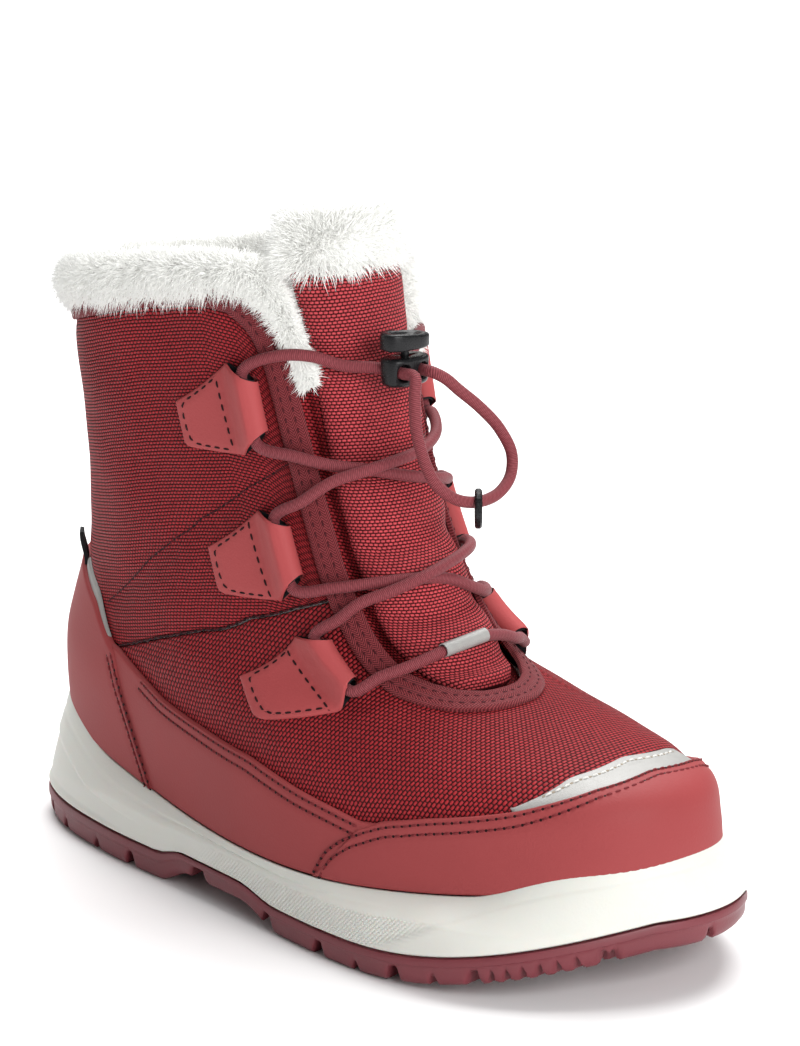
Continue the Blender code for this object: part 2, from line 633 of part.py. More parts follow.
def make_loop(name, phi, level):
    """A folded patch: a hexagon sewn down at the back, with a tube for the cord at its front."""
    place = loop_map(phi, level)
    outer, inner = loop_profile()
    points = []
    for share in (0, 0.5, 1):
        for back, out in outer + inner:
            top = np.interp(back, *zip(*LOOP_TOP))
            bottom = np.interp(back, *zip(*LOOP_BOTTOM))
            points.append(place(back, top + (bottom - top) * share, out))
    rim, size = len(outer), len(outer + inner)
    faces = []
    for start in (0, size):
        for first, count in ((0, rim), (rim, size - rim)):
            for i in range(count):
                j = (i + 1) % count
                faces.append((start + first + i, start + first + j,
                              start + size + first + j, start + size + first + i))
    for start in (0, 2 * size):
        ends = [(0, 1, rim - 2, rim - 1), (1, 2, rim - 3, rim - 2), (2, rim, rim - 3),
                (2, 3, rim + 1, rim), (rim - 4, rim - 3, rim, size - 1)]
        ends += [(3 + i, 4 + i, rim + 2 + i, rim + 1 + i) for i in range(8)]
        faces += [tuple(start + i for i in face) for face in ends]
    add_solid(name, points, faces, "overlay")


def make_loops():
    """Three lace loops on each side."""
    for number, (phi, level) in enumerate(LOOPS, 1):
        make_loop(f"lace_loop_lateral_{number}", -phi, level)
        make_loop(f"lace_loop_medial_{number}", phi, level)


def through_loop(side, number, downwards=True):
    """The cord's middle where it runs through a loop; side is -1 outside and 1 inside."""
    phi, level = LOOPS[number - 1]
    place = loop_map(side * phi, level)
    middle = LOOP_TUBE_R + LOOP_SKIN
    steps = (-8.2, 0.5, 9.4) if downwards else (9.4, 0.5, -8.2)
    return [place(middle, step, LOOP_BASE + middle) for step in steps]


def strand(run, crossing=None, rise=CROSSING, flip=1):
    """The cord's middle along (angle, level) points, raised where it crosses over another."""
    points = []
    for phi, level in run:
        lift = 0 if crossing is None else rise * max(0, 1 - abs(phi - crossing) / 50)
        points.append(tuple(surface(flip * phi, level, CORD_HEIGHT + lift)))
    return points


def lacing_route():
    """The cord from the lock's outer bore, through all six loops and back to its inner bore."""
    route = [tuple(LOCK + Vector(p)) for p in OUTER_ENTRY]
    route += strand(TOP_RUN) + through_loop(-1, 1)
    route += strand(UPPER_FALL) + through_loop(1, 2)
    route += strand(LOWER_RISE[::-1], LOWER_CROSSING) + through_loop(-1, 3)
    route += strand(LOWEST_RUN, 0, SLEEVE_RISE) + through_loop(1, 3, False)
    route += strand(LOWER_FALL[::-1]) + through_loop(-1, 2, False)
    route += strand(UPPER_RISE, UPPER_CROSSING) + through_loop(1, 1, False)
    route += strand(TOP_RUN[::-1], flip=-1)
    return route + [tuple(LOCK + Vector(p)) for p in INNER_ENTRY]


def smooth_route(route, spacing):
    """Evenly spaced points on a smooth curve through the route's points."""
    route = np.array(route, float)
    knots = np.concatenate([[0], np.cumsum(np.linalg.norm(np.diff(route, axis=0), axis=1))])
    at = np.linspace(0, knots[-1], round(knots[-1] / spacing) + 1)
    return np.column_stack([spline(knots, route[:, k], at) for k in range(3)])


def add_cord(name, points):
    """A round cord along its middle's points: a curve with a bevel and filled caps."""
    curve = bpy.data.curves.new(name, "CURVE")
    curve.dimensions = "3D"
    curve.bevel_depth = CORD_R * MM
    curve.bevel_resolution = 2
    curve.use_fill_caps = True
    line = curve.splines.new("POLY")
    line.points.add(len(points) - 1)
    for knot, point in zip(line.points, points):
        knot.co = (*to_metres(point), 1.0)
    cord = bpy.data.objects.new(name, curve)
    curve.materials.append(finish_material("cord"))
    bpy.context.collection.objects.link(cord)
    return cord


def make_cords():
    """The lacing, the crimped sleeve that joins it and the free loop in front of the lock."""
    add_cord("bungee_lacing", lacing_route())
    middle = smooth_route(strand(LOWEST_RUN, 0, SLEEVE_RISE), 1.0)
    start = len(middle) // 2 - 9
    points = [Vector(p) for p in middle[start:start + 16:3]]
    rings = []
    for radius in (SLEEVE_R, SLEEVE_BORE_R):
        run = points if radius == SLEEVE_R else points[::-1]
        for i, point in enumerate(run):
            along = (points[-1] - points[0]).normalized()
            turn = along.to_track_quat("X", "Z")
            rings.append([point + turn @ Vector((0, radius * math.cos(math.tau * j / 12),
                                                 radius * math.sin(math.tau * j / 12)))
                          for j in range(12)])
    sleeve = add_solid("lace_sleeve", *loft(rings, joined=True), "silver")
    set_pivot(sleeve, TONGUE_AXIS)
    add_cord("bungee_loop", smooth_route(FREE_LOOP, 3.6))


# ---------------------------------------------------------------- cord lock

def oval(half_x, half_y, height, middle=LOCK, sides=24):
    """A rounded oblong ring at a height above the lock's middle, which may depend on y."""
    ring = []
    for i in range(sides):
        a = math.tau * i / sides
        x = math.copysign(abs(math.cos(a)) ** 0.7, math.cos(a)) * half_x
        y = math.copysign(abs(math.sin(a)) ** 0.7, math.sin(a)) * half_y
        rise = height(y) if callable(height) else height
        ring.append(middle + Vector((x, y, rise)))
    return ring


def turned(start, stations, sides):
    """Rings about a line through start: each station is (distance, radius, direction)."""
    rings = []
    for distance, radius, direction in stations:
        axis = Vector(direction)
        turn = axis.to_track_quat("Z", "Y")
        rings.append([start + axis * distance
                      + turn @ Vector((radius * math.cos(math.tau * j / sides),
                                       radius * math.sin(math.tau * j / sides), 0))
                      for j in range(sides)])
    return loft(rings)


def make_lock():
    """The lock's body, its sprung button and the spring between them."""
    hx, hy, hz = LOCK_HALF
    body = add_solid("cord_lock_body", *loft([oval(hx - 0.6, hy - 0.7, -hz),
                                              oval(hx, hy, -hz + 0.8), oval(hx, hy, hz - 0.6),
                                              oval(hx - 0.3, hy - 0.3, hz)]), "black")
    along = (1, 0, 0)
    stations = [(-hx - 1, BORE_R + 1.2, along), (-hx + 0.6, BORE_R + 0.5, along),
                (-hx + 2.0, BORE_R, along), (hx + 1, BORE_R, along)]
    bores = [turned(LOCK + Vector((0, side * CORD_PITCH, 0)), stations, 16) for side in (-1, 1)]
    cut(body, add_cutter("bore_cutter", *merge_meshes(bores)))
    up = (0, 0, 1)
    well = turned(LOCK, [(WELL_FLOOR, WELL_R, up), (hz + 1, WELL_R, up)], 16)
    cut(body, add_cutter("well_cutter", *well))

    top = hz + BUTTON_GAP
    rim = lambda y: top + BUTTON_HEIGHT - 0.9 - 0.9 * y / hy
    dish = lambda y: top + BUTTON_HEIGHT - 1.9 - 0.4 * y / hy
    button = add_solid("lock_button", *loft([
        oval(STEM_R, STEM_R, STEM_FOOT), oval(STEM_R, STEM_R, top),
        oval(hx - 0.4, hy - 0.4, top), oval(hx, hy, top + 0.6),
        oval(hx, hy, lambda y: rim(y) - 0.7), oval(hx - 0.4, hy - 0.4, rim),
        oval(hx - 1.5, hy - 1.9, dish)]), "black")
    set_pivot(button, LOCK)
    spring_solid = add_solid("lock_spring", *spring_mesh(), "steel")
    for solid in (body, spring_solid):
        set_pivot(solid, LOCK)


def spring_mesh():
    """A small compression spring between the well's floor and the button's stem."""
    turns, steps, sides = 4, 9, 4
    low, high = WELL_FLOOR + 0.15 + SPRING_WIRE_R, STEM_FOOT - 0.15 - SPRING_WIRE_R
    count = int(turns * steps)
    rings = []
    for i in range(count + 1):
        a = math.tau * turns * i / count
        out = Vector((math.cos(a), math.sin(a), 0))
        middle = LOCK + out * SPRING_R + Vector((0, 0, low + (high - low) * i / count))
        rings.append([middle + (out * math.cos(math.tau * j / sides)
                                + Vector((0, 0, 1)) * math.sin(math.tau * j / sides))
                      * SPRING_WIRE_R for j in range(sides)])
    return loft(rings)


def make_ring():
    """The flat pull ring that hangs on the free loop."""
    middle = RING_HINGE - Vector((0, 0, RING_HOLE_R - CORD_R - 0.2))
    across, through = Vector((0.731, -0.682, 0)), Vector((0.682, 0.731, 0))
    half, sides = RING_THICK / 2, 24
    section = [(RING_HOLE_R, -half + 0.4), (RING_HOLE_R, half - 0.4), (RING_HOLE_R + 0.4, half),
               (RING_R - 0.4, half), (RING_R, half - 0.4), (RING_R, -half + 0.4),
               (RING_R - 0.4, -half), (RING_HOLE_R + 0.4, -half)]
    rings = []
    for i in range(sides):
        a = math.tau * i / sides
        rings.append([middle + across * (r * math.cos(a)) + through * side
                      + Vector((0, 0, r * math.sin(a))) for r, side in section])
    ring = add_solid("pull_ring", *loft(rings, joined=True), "black")
    set_pivot(ring, RING_HINGE)


clear_scene()
make_outsole()
make_midsole()
make_insole("strobel_board", "board", 3.0, 0.1, 1.3)
make_insole("footbed", "lining", 6.0, 1.7, 4.7)
make_uppers()
make_overlays()
make_heel_trims()
make_bindings()
make_pile()
make_tongue()
make_loops()
make_cords()
make_lock()
make_ring()
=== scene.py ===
"""A child's winter boot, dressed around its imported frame: cloth, pile, cords and stitching.

Lengths are in millimetres from the datum of the boot's surface until a mesh is made from them.
A point on the upper has an angle phi, 0 at the toe and -90 on the outer side, and a level, 0 at
the sole and 1 at the collar.
"""

import math

import bmesh
import bpy
import numpy as np
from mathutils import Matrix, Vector


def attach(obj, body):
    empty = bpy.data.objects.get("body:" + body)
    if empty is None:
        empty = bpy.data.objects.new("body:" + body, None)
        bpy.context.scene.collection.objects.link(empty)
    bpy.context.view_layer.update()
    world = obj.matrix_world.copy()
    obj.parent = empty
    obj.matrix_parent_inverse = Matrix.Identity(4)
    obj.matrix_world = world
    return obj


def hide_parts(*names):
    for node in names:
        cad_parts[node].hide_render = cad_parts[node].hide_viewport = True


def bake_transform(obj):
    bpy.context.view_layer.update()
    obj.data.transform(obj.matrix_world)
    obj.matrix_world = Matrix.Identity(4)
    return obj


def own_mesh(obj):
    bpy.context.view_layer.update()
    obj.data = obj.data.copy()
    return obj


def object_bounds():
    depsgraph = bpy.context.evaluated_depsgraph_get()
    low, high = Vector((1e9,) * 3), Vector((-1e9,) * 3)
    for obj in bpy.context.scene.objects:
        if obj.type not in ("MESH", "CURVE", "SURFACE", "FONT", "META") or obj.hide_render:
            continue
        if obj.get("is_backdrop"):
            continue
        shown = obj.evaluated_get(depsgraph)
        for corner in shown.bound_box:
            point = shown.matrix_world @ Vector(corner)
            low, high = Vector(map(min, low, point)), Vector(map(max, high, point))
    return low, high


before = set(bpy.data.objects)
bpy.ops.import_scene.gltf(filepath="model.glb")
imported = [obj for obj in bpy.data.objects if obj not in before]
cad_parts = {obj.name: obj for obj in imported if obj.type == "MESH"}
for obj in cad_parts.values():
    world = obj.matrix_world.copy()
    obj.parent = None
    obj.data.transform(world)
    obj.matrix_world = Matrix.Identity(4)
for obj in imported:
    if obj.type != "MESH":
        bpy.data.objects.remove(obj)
cad_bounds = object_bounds()
scene = bpy.context.scene

MM = 0.001
DATUM = np.array((2.4, 1.4, 0.0))
SIDES = (("lateral", -1), ("medial", 1))

# Rings of the upper: level, back x, front x, back z, middle z, front z, heel half-width,
# ball half-width, sideways shift of the toe, roundness of the ring.
RINGS = np.array([
    (0.00, -98.0, 102.0, 28.3, 16.8, 27.3, 30.0, 42.0, 5.0, 2.35),
    (0.08, -99.5, 101.8, 39.3, 26.8, 37.3, 30.5, 41.8, 5.0, 2.28),
    (0.16, -98.5, 99.0, 49.3, 36.3, 44.8, 31.0, 41.0, 5.0, 2.30),
    (0.24, -95.5, 88.0, 58.3, 44.3, 48.8, 31.0, 38.5, 4.5, 2.25),
    (0.32, -92.0, 71.0, 67.3, 52.3, 51.8, 30.5, 35.5, 3.5, 2.20),
    (0.40, -89.5, 54.0, 75.3, 60.3, 55.8, 30.0, 31.5, 1.5, 2.20),
    (0.48, -88.0, 40.5, 83.3, 69.3, 63.3, 30.0, 29.5, 0.0, 2.20),
    (0.58, -86.5, 29.5, 94.3, 83.3, 77.3, 31.0, 28.5, -1.5, 2.20),
    (0.70, -86.0, 19.5, 107.3, 102.3, 97.3, 32.0, 28.0, -2.0, 2.20),
    (0.85, -86.0, 10.5, 121.3, 123.3, 122.3, 34.0, 29.0, -2.0, 2.20),
    (1.00, -86.0, 4.0, 134.3, 146.3, 148.3, 35.0, 30.0, -2.0, 2.20),
    (1.10, -86.0, 1.0, 142.3, 158.3, 164.3, 35.0, 30.0, -2.0, 2.20),
])
SOLE_OUTLINE = np.array([
    (-101.0, 1.0), (-95.3, -16.1), (-79.8, -26.3), (-55.0, -31.9), (-25.0, -34.4), (5.0, -37.5),
    (35.0, -40.6), (60.0, -39.5), (80.0, -32.0), (95.0, -17.5), (105.0, 3.0), (103.0, 21.0),
    (88.0, 35.5), (62.0, 43.0), (35.0, 42.6), (5.0, 38.8), (-25.0, 33.0), (-55.0, 30.8),
    (-80.0, 26.5), (-96.0, 17.0),
])
FINE = 36                 # points on each stretch of the outline, for the tread's grooves
HEEL_X, SOLE_LENGTH = -102.5, 205.0
TOE_SPRING = 11.5
WAIST_LIFT = 4.2

# Offsets of the upper's layers from its surface.
LINING = (-4.8, -2.6)
TEXTILE = (-0.9, 0.0)
OVERLAY = (0.0, 1.2)
SOLE_EDGE = 0.004

# Edges of the panels as (angle from the toe, level).
SEAM = ((38, 0.590), (44.5, 0.575), (58.5, 0.545), (76, 0.495), (92.5, 0.415), (107.5, 0.34),
        (125, 0.245), (137, 0.22), (180, 0.22))
UPPER_QUILTING = ((44, 0.762), (48, 0.755), (64.5, 0.705), (84, 0.63), (105, 0.505), (131, 0.315))
THROAT = ((0, 0.42), (20, 0.42), (30, 0.428), (36, 0.448), (37.2, 0.475), (41, 0.575))
FOXING_TOP = ((70, 0.128), (74.5, 0.145), (81, 0.165), (89, 0.195), (98.5, 0.205), (108, 0.21),
              (116.5, 0.23), (123.5, 0.245))
CAP_TOP = ((0, 0.222), (19, 0.205), (31, 0.185), (40, 0.17), (49, 0.16), (58, 0.15),
           (66, 0.135), (70, 0.115), (79, 0.1))
COUNTER_TOP = ((112, 0.2), (124.5, 0.235), (129, 0.26), (135.5, 0.30), (148, 0.325),
               (180, 0.345))
COLLAR_TOP = ((38, 0.80), (39, 0.84), (41, 0.87), (42.4, 0.911), (45, 0.943), (50, 0.966),
              (56, 0.984), (69, 0.996), (94, 0.987), (120, 0.973), (180, 0.955))
TONGUE_HALF = ((0.447, 15), (0.465, 21), (0.50, 27), (0.60, 30), (0.75, 30), (0.85, 28.5),
               (0.95, 29), (1.0, 31), (1.06, 32), (1.09, 29))
THROAT_TAPE = [(-180, 0.955), (-150, 0.962), (-120, 0.974), (-94, 0.988), (-80, 0.996),
               (-69, 0.998), (-56, 0.986), (-50, 0.968), (-45.2, 0.943), (-42.4, 0.908),
               (-41.2, 0.852), (-40.7, 0.78), (-40.6, 0.69), (-40.5, 0.61), (-39.6, 0.54),
               (-38.6, 0.49), (-36.5, 0.452), (-31, 0.433), (-22, 0.423), (-11, 0.42), (0, 0.42)]
TAPE_HALF, TAPE_HEIGHT, TAPE_FOOT, TAPE_STITCHES = 3.1, 1.35, 0.1, 1.1     # mm
TAPE_SPLIT = 0.93         # the level where the collar's part of the tape starts
CAP_PHI, COUNTER_PHI, PANEL_SLANT = 79.0, 112.0, 9.0
COUNTER_SLANT = 12.5

# Lacing, as in the frame: the cord's middle above the surface, and more where it crosses another.
CORD_R = 1.4
CORD_HEIGHT, CROSSING = 3.2, 3.7
LOCK = np.array((19.8, -3.5, 131.1))
LOCK_HALF = np.array((3.6, 6.2, 3.4))
LOOP_TOP = ((0.0, -5.4), (7.4, -11.0), (21.8, -2.6))
LOOP_BOTTOM = ((0.0, 6.4), (7.6, 12.3), (20.8, 10.8), (21.8, 8.8))
LOOP_BACK = 21.8
LOOPS = ((49.4, 0.846), (50.0, 0.640), (48.4, 0.479))
LOOP_BASE, LOOP_TUBE_R, LOOP_SKIN = 0.55, 2.25, 0.7
LOOP_WIDTH, LOOP_EDGE = 18.0, 0.7
LOOP_STITCHES = ((10.6, -8.0), (15.0, -5.3), (18.9, -2.9), (19.9, -1.4), (20.1, 1.5), (20.0, 5.0),
                 (19.6, 8.0), (18.6, 9.3), (16.5, 9.8), (13.0, 10.3), (10.2, 10.7))
LOOP_FRONT_STITCHES = ((10.4, -8.6), (9.6, 11.2))
LOOP_RUN = (-8.2, 0.5, 9.4)       # where the cord enters, crosses and leaves a loop, downwards
SLEEVE_RISE, SLEEVE_R = 0.9, 1.68
TONGUE_MIDDLE = -2.0      # y of the tongue's middle, where the lacing is in two halves
CORD_PITCH, BORE_R, BORE_SIDES = 3.1, 1.75, 32
WELL_R, WELL_FLOOR = 1.15, -2.6
STEM_R, STEM_FOOT = 0.95, 1.9
SPRING_R, SPRING_WIRE_R, SPRING_TURNS = 0.75, 0.16, 4
BUTTON_GAP, BUTTON_HEIGHT = 1.7, 4.9
TOP_RUN = ((-17.5, 0.900), (-28.5, 0.914), (-39.5, 0.915))
UPPER_FALL = ((-42, 0.774), (-30, 0.765), (-15, 0.757), (0, 0.742), (15, 0.728), (31, 0.71),
              (41, 0.698))
UPPER_RISE = ((-43, 0.708), (-30, 0.742), (-19, 0.755), (-8, 0.764), (5, 0.772), (18, 0.782),
              (32, 0.79), (41, 0.794))
LOWER_FALL = ((-40.5, 0.594), (-26.5, 0.606), (-10, 0.610), (4, 0.60), (16, 0.577),
              (30, 0.553), (40, 0.543))
LOWER_RISE = ((-42, 0.55), (-34.5, 0.573), (-21.5, 0.593), (-10, 0.607), (4, 0.621), (18, 0.625),
              (32, 0.62), (41, 0.612))
UPPER_CROSSING, LOWER_CROSSING = -14, -6
LOWEST_RUN = ((-40, 0.452), (-31.5, 0.470), (-16, 0.497), (-5, 0.508), (5, 0.510), (16, 0.499),
              (30, 0.470), (40, 0.451))
OUTER_ENTRY = ((2.0, -3.1, 0), (0, -3.1, 0), (-2.6, -3.2, 0.1), (-4.6, -4.6, 0.4))
INNER_ENTRY = ((-4.6, 4.8, 0.4), (-2.6, 3.2, 0.1), (0, 3.1, 0), (2.0, 3.1, 0))
FREE_LOOP = ((22.5, -6.6, 131.1), (26.4, -6.6, 131.0), (28.4, -8.4, 127.0), (30.6, -10.0, 120.0),
             (32.6, -9.9, 114.0), (34.6, -8.2, 108.0), (36.2, -3.4, 103.4), (36.8, 4.0, 101.4),
             (36.6, 11.2, 102.5), (35.6, 15.6, 105.6), (34.2, 17.3, 110.0), (32.3, 15.4, 115.8),
             (30.4, 10.8, 121.5), (28.7, 5.5, 126.3), (27.5, 1.4, 129.9), (26.2, -0.3, 131.0),
             (22.5, -0.4, 131.1))


# ---------------------------------------------------------------- the boot's surface

def spline(knots, values, at):
    """A smooth cubic through values at the knots."""
    step = np.diff(knots)
    slope = np.diff(values) / step
    tangent = np.empty_like(values)
    tangent[1:-1] = (slope[:-1] * step[1:] + slope[1:] * step[:-1]) / (step[1:] + step[:-1])
    tangent[0], tangent[-1] = slope[0], slope[-1]
    i = np.clip(np.searchsorted(knots, at, side="right") - 1, 0, len(step) - 1)
    h = step[i]
    s = (at - knots[i]) / h
    return ((2 * s**3 - 3 * s**2 + 1) * values[i] + (s**3 - 2 * s**2 + s) * h * tangent[i]
            + (3 * s**2 - 2 * s**3) * values[i + 1] + (s**3 - s**2) * h * tangent[i + 1])


def curve(knots, points, at):
    """A smooth curve through points of any size at the knots."""
    return np.column_stack([spline(knots, column, at) for column in points.T])


def along_line(where, at, values):
    """Rows of values, read at distances along a line."""
    return np.column_stack([np.interp(where, at, column) for column in values.T])


def read(pairs, at):
    """Values at places along a list of (place, value) pairs."""
    places, values = zip(*pairs)
    return np.interp(at, places, values)


def unit(vectors):
    """Vectors made one long."""
    return vectors / np.linalg.norm(vectors, axis=-1)[..., None]


def ease(share):
    """A smooth step from 0 to 1."""
    share = np.clip(share, 0, 1)
    return share * share * (3 - 2 * share)


def bare_surface(phi, level):
    """Points on the upper's surface, for angles in degrees and levels."""
    phi, level = np.broadcast_arrays(np.asarray(phi, float), np.asarray(level, float))
    rows = [spline(RINGS[:, 0], RINGS[:, k], level) for k in range(1, 10)]
    back, front, z_back, z_mid, z_front, w_heel, w_ball, shift, power = rows
    c, s = np.cos(np.radians(phi)), np.sin(np.radians(phi))
    along = (np.sign(c) * np.abs(c) ** (2 / power) + 1) / 2
    across = np.sign(s) * np.abs(s) ** (2 / power)
    x = back + (front - back) * along
    y = across * (w_heel + (w_ball - w_heel) * ease((along - 0.2) / 0.5))
    y = y + shift * ease((along - 0.3) / 0.7)
    z = (z_back * (along - 0.6) * (along - 1) / 0.6 + z_mid * along * (1 - along) / 0.24
         + z_front * along * (along - 0.6) / 0.4)
    return np.stack([x, y, z], -1)


def surface_frame(phi, level):
    """The surface's points, its unit normals and its two unnormalised tangents."""
    turn, rise = 0.5, 0.004
    phi = np.asarray(phi, float)
    around = bare_surface(phi + turn, level) - bare_surface(phi - turn, level)
    upward = bare_surface(phi, level + rise) - bare_surface(phi, level - rise)
    normal = unit(np.cross(around, upward))
    return bare_surface(phi, level), normal, around / (2 * turn), upward / (2 * rise)


def surface(phi, level, offset=0.0):
    """Points at a distance outside the surface."""
    point, normal, _, _ = surface_frame(phi, level)
    return point + normal * np.asarray(offset)[..., None]


def fold(phi):
    """An angle's distance from the toe, 0 to 180."""
    return np.abs((np.asarray(phi) + 180) % 360 - 180)


def edge(points):
    """A panel's edge: the level at an angle, read between the given points."""
    return lambda phi: read(points, fold(phi))


def level_edge(value):
    """An edge at one level."""
    return lambda phi: value + 0 * np.asarray(phi, float)


def dense(path, spacing=0.004):
    """A path of (phi, level) points with more points between them."""
    path = np.array(path, float)
    gaps = np.linalg.norm(np.diff(path, axis=0) / (120, 1), axis=1)
    at = np.concatenate([[0], np.cumsum(gaps)])
    fine = np.linspace(0, at[-1], max(2, int(at[-1] / spacing)))
    return along_line(fine, at, path)


def smooth_path(path, count=60):
    """A smooth curve through a path's points."""
    path = np.array(path, float)
    return curve(np.arange(len(path), dtype=float), path, np.linspace(0, len(path) - 1, count))


def sideways(path):
    """Steps in (phi, level) of 1 mm to the right of a path's direction."""
    point, normal, around, upward = surface_frame(path[:, 0], path[:, 1])
    side = unit(np.cross(np.gradient(point, axis=0), normal))
    return np.array([np.linalg.pinv(np.column_stack(tangents)) @ right
                     for *tangents, right in zip(around, upward, side)])


def mirror(path):
    """The same path on the other side."""
    return [(-phi, level) for phi, level in path]


def run_length(points):
    """Distances along a line of points, from 0 at its start."""
    return np.concatenate([[0], np.cumsum(np.linalg.norm(np.diff(points, axis=0), axis=1))])


def even(points, spacing):
    """A smooth line through points, evenly spaced."""
    points = np.array(points, float)
    knots = run_length(points)
    return curve(knots, points, np.linspace(0, knots[-1], max(3, round(knots[-1] / spacing)) + 1))


# ---------------------------------------------------------------- meshes

def new_object(name, data):
    """An object in the scene."""
    made = bpy.data.objects.new(name, data)
    scene.collection.objects.link(made)
    return made


def add_mesh(name, points, faces, material, slot, body="root", nodes=(), cloth=None, crease=38):
    """A piece of the boot that rides on a body and may stand for CAD nodes."""
    mesh = bpy.data.meshes.new(name)
    mesh.from_pydata(((np.asarray(points, float) - DATUM) * MM).tolist(), [], faces)
    if cloth is not None:
        layer = mesh.attributes.new("cloth", "FLOAT_VECTOR", "POINT")
        layer.data.foreach_set("vector", np.asarray(cloth, np.float32).ravel())
    work = bmesh.new()
    work.from_mesh(mesh)
    bmesh.ops.recalc_face_normals(work, faces=work.faces)
    work.to_mesh(mesh)
    work.free()
    mesh.shade_smooth()
    mesh.set_sharp_from_angle(angle=math.radians(crease))
    mesh.materials.append(material)
    piece = new_object(name, mesh)
    if body:
        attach(piece, body)
    if nodes:
        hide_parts(*nodes)
    return piece


def bend_across(piece, side):
    """Bake a piece's transform into its mesh; the side is not used."""
    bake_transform(piece)


def grid_faces(rows, columns, start=0, closed=False):
    """Quads of a grid of points; a closed one joins its last column to its first."""
    r, c = np.meshgrid(np.arange(rows - 1), np.arange(columns if closed else columns - 1),
                       indexing="ij")
    nxt = (c + 1) % columns
    quads = np.stack([r * columns + c, r * columns + nxt, (r + 1) * columns + nxt,
                      (r + 1) * columns + c], -1).reshape(-1, 4) + start
    return quads.tolist()


def sheet_mesh(skins, closed=False):
    """Points and faces of a closed sheet with an inner and an outer skin."""
    rows, columns = skins[0].shape[:2]
    size = rows * columns
    points = np.concatenate([skin.reshape(-1, 3) for skin in skins])
    faces = grid_faces(rows, columns, 0, closed) + grid_faces(rows, columns, size, closed)
    last = columns if closed else columns - 1
    for col in range(last):
        nxt = (col + 1) % columns
        for row in (0, rows - 1):
            a, b = row * columns + col, row * columns + nxt
            faces.append((a, b, size + b, size + a))
    if not closed:
        for row in range(rows - 1):
            for col in (0, columns - 1):
                a, b = row * columns + col, (row + 1) * columns + col
                faces.append((a, b, size + b, size + a))
    return points, faces


def add_sheet(name, skins, material, slot, body="root", cloth=None, nodes=()):
    """A closed sheet between two skins, with the cloth coordinates of one of them."""
    if cloth is not None:
        cloth = np.concatenate([cloth.reshape(-1, 3)] * 2)
    return add_mesh(name, *sheet_mesh(skins), material, slot, body, nodes, cloth)


def run_across(points):
    """Distances along each row of a grid of points, from 0 at its start."""
    steps = np.linalg.norm(np.diff(points, axis=1), axis=2)
    return np.concatenate([np.zeros((len(points), 1)), np.cumsum(steps, axis=1)], axis=1)


def loft(rings, capped=True, joined=False):
    """Points and faces of equal rings joined in turn."""
    rings = np.asarray(rings, float)
    count, size = rings.shape[:2]
    faces = grid_faces(count, size, 0, True)
    if joined:
        for j in range(size):
            k, base = (j + 1) % size, (count - 1) * size
            faces.append((base + j, base + k, k, j))
    elif capped:
        faces += [tuple(range(size)), tuple(range((count - 1) * size, count * size))]
    return rings.reshape(-1, 3), faces


def joined_meshes(parts):
    """Several point and face lists as one."""
    points, faces, start = [], [], 0
    for part_points, part_faces in parts:
        points.append(np.asarray(part_points, float))
        faces += [tuple(start + i for i in face) for face in part_faces]
        start += len(part_points)
    return np.concatenate(points), faces


RIM = np.array((0.0, 0.07, 0.22, 0.45, 0.8))     # rows near a panel's rounded edge, in mm
RIM_R = 0.8


def shares(length, count):
    """Shares of each length from 0 to 1: close rows at both ends and even ones between."""
    length = np.atleast_1d(np.asarray(length, float))
    rim = np.minimum(np.outer(RIM, 1 / length), np.linspace(0, 0.2, len(RIM))[:, None])
    inner = np.linspace(0, 1, count + 1)[1:-1, None]
    middle = rim[-1] + (1 - 2 * rim[-1]) * inner
    return np.concatenate([rim, middle, 1 - rim[::-1]])


def rounded(distance, radius):
    """0 at a rim and 1 from a radius away, on a quarter circle."""
    return np.sqrt(1 - (1 - np.clip(distance / radius, 0, 1)) ** 2)


class Panel:
    """A grid over a panel of the upper, with each point's distance from the panel's rim."""

    def __init__(self, ends, low, high, step=1.5):
        (start_low, start_high), (end_low, end_high) = ends
        probe = np.linspace((start_low + start_high) / 2, (end_low + end_high) / 2, 80)
        middle = (low(probe) + high(probe)) / 2
        self.width = run_length(bare_surface(probe, middle))[-1]
        along = shares(self.width, round(self.width / step))[:, 0]
        phi = np.interp(along, np.linspace(0, 1, 80), probe)
        height = np.linalg.norm(bare_surface(phi, high(phi)) - bare_surface(phi, low(phi)), axis=1)
        height = np.maximum(height, 1.0)
        up = shares(height, max(3, round(height.max() / step)))
        first = start_low + (start_high - start_low) * up
        last = end_low + (end_high - end_low) * up
        self.phi = first + (last - first) * along
        self.level = low(self.phi) + (high(self.phi) - low(self.phi)) * up
        self.up, self.along = up, along
        rim_up = np.minimum(up, 1 - up) * height
        rim_along = np.minimum(along, 1 - along) * self.width
        self.rim = np.minimum(rim_up, rim_along + 0 * rim_up)

    def skins(self, offsets, lift=0.0):
        """The inner and the outer skin; the outer one may be lifted."""
        low, high = offsets
        top = low + (high - low + lift) * np.maximum(rounded(self.rim, RIM_R), 0.04)
        return [surface(self.phi, self.level, low), surface(self.phi, self.level, top)]

    def cloth(self, origin=0.4):
        """Cloth coordinates in mm: along the rows, and down from the panel's top edge."""
        points = bare_surface(self.phi, self.level)
        u, v = run_across(points), run_across(points.transpose(1, 0, 2)).T
        start = int(np.searchsorted(self.along, origin))
        return np.stack([u - u[:, start:start + 1], v - v[-1:], 0 * u], -1)


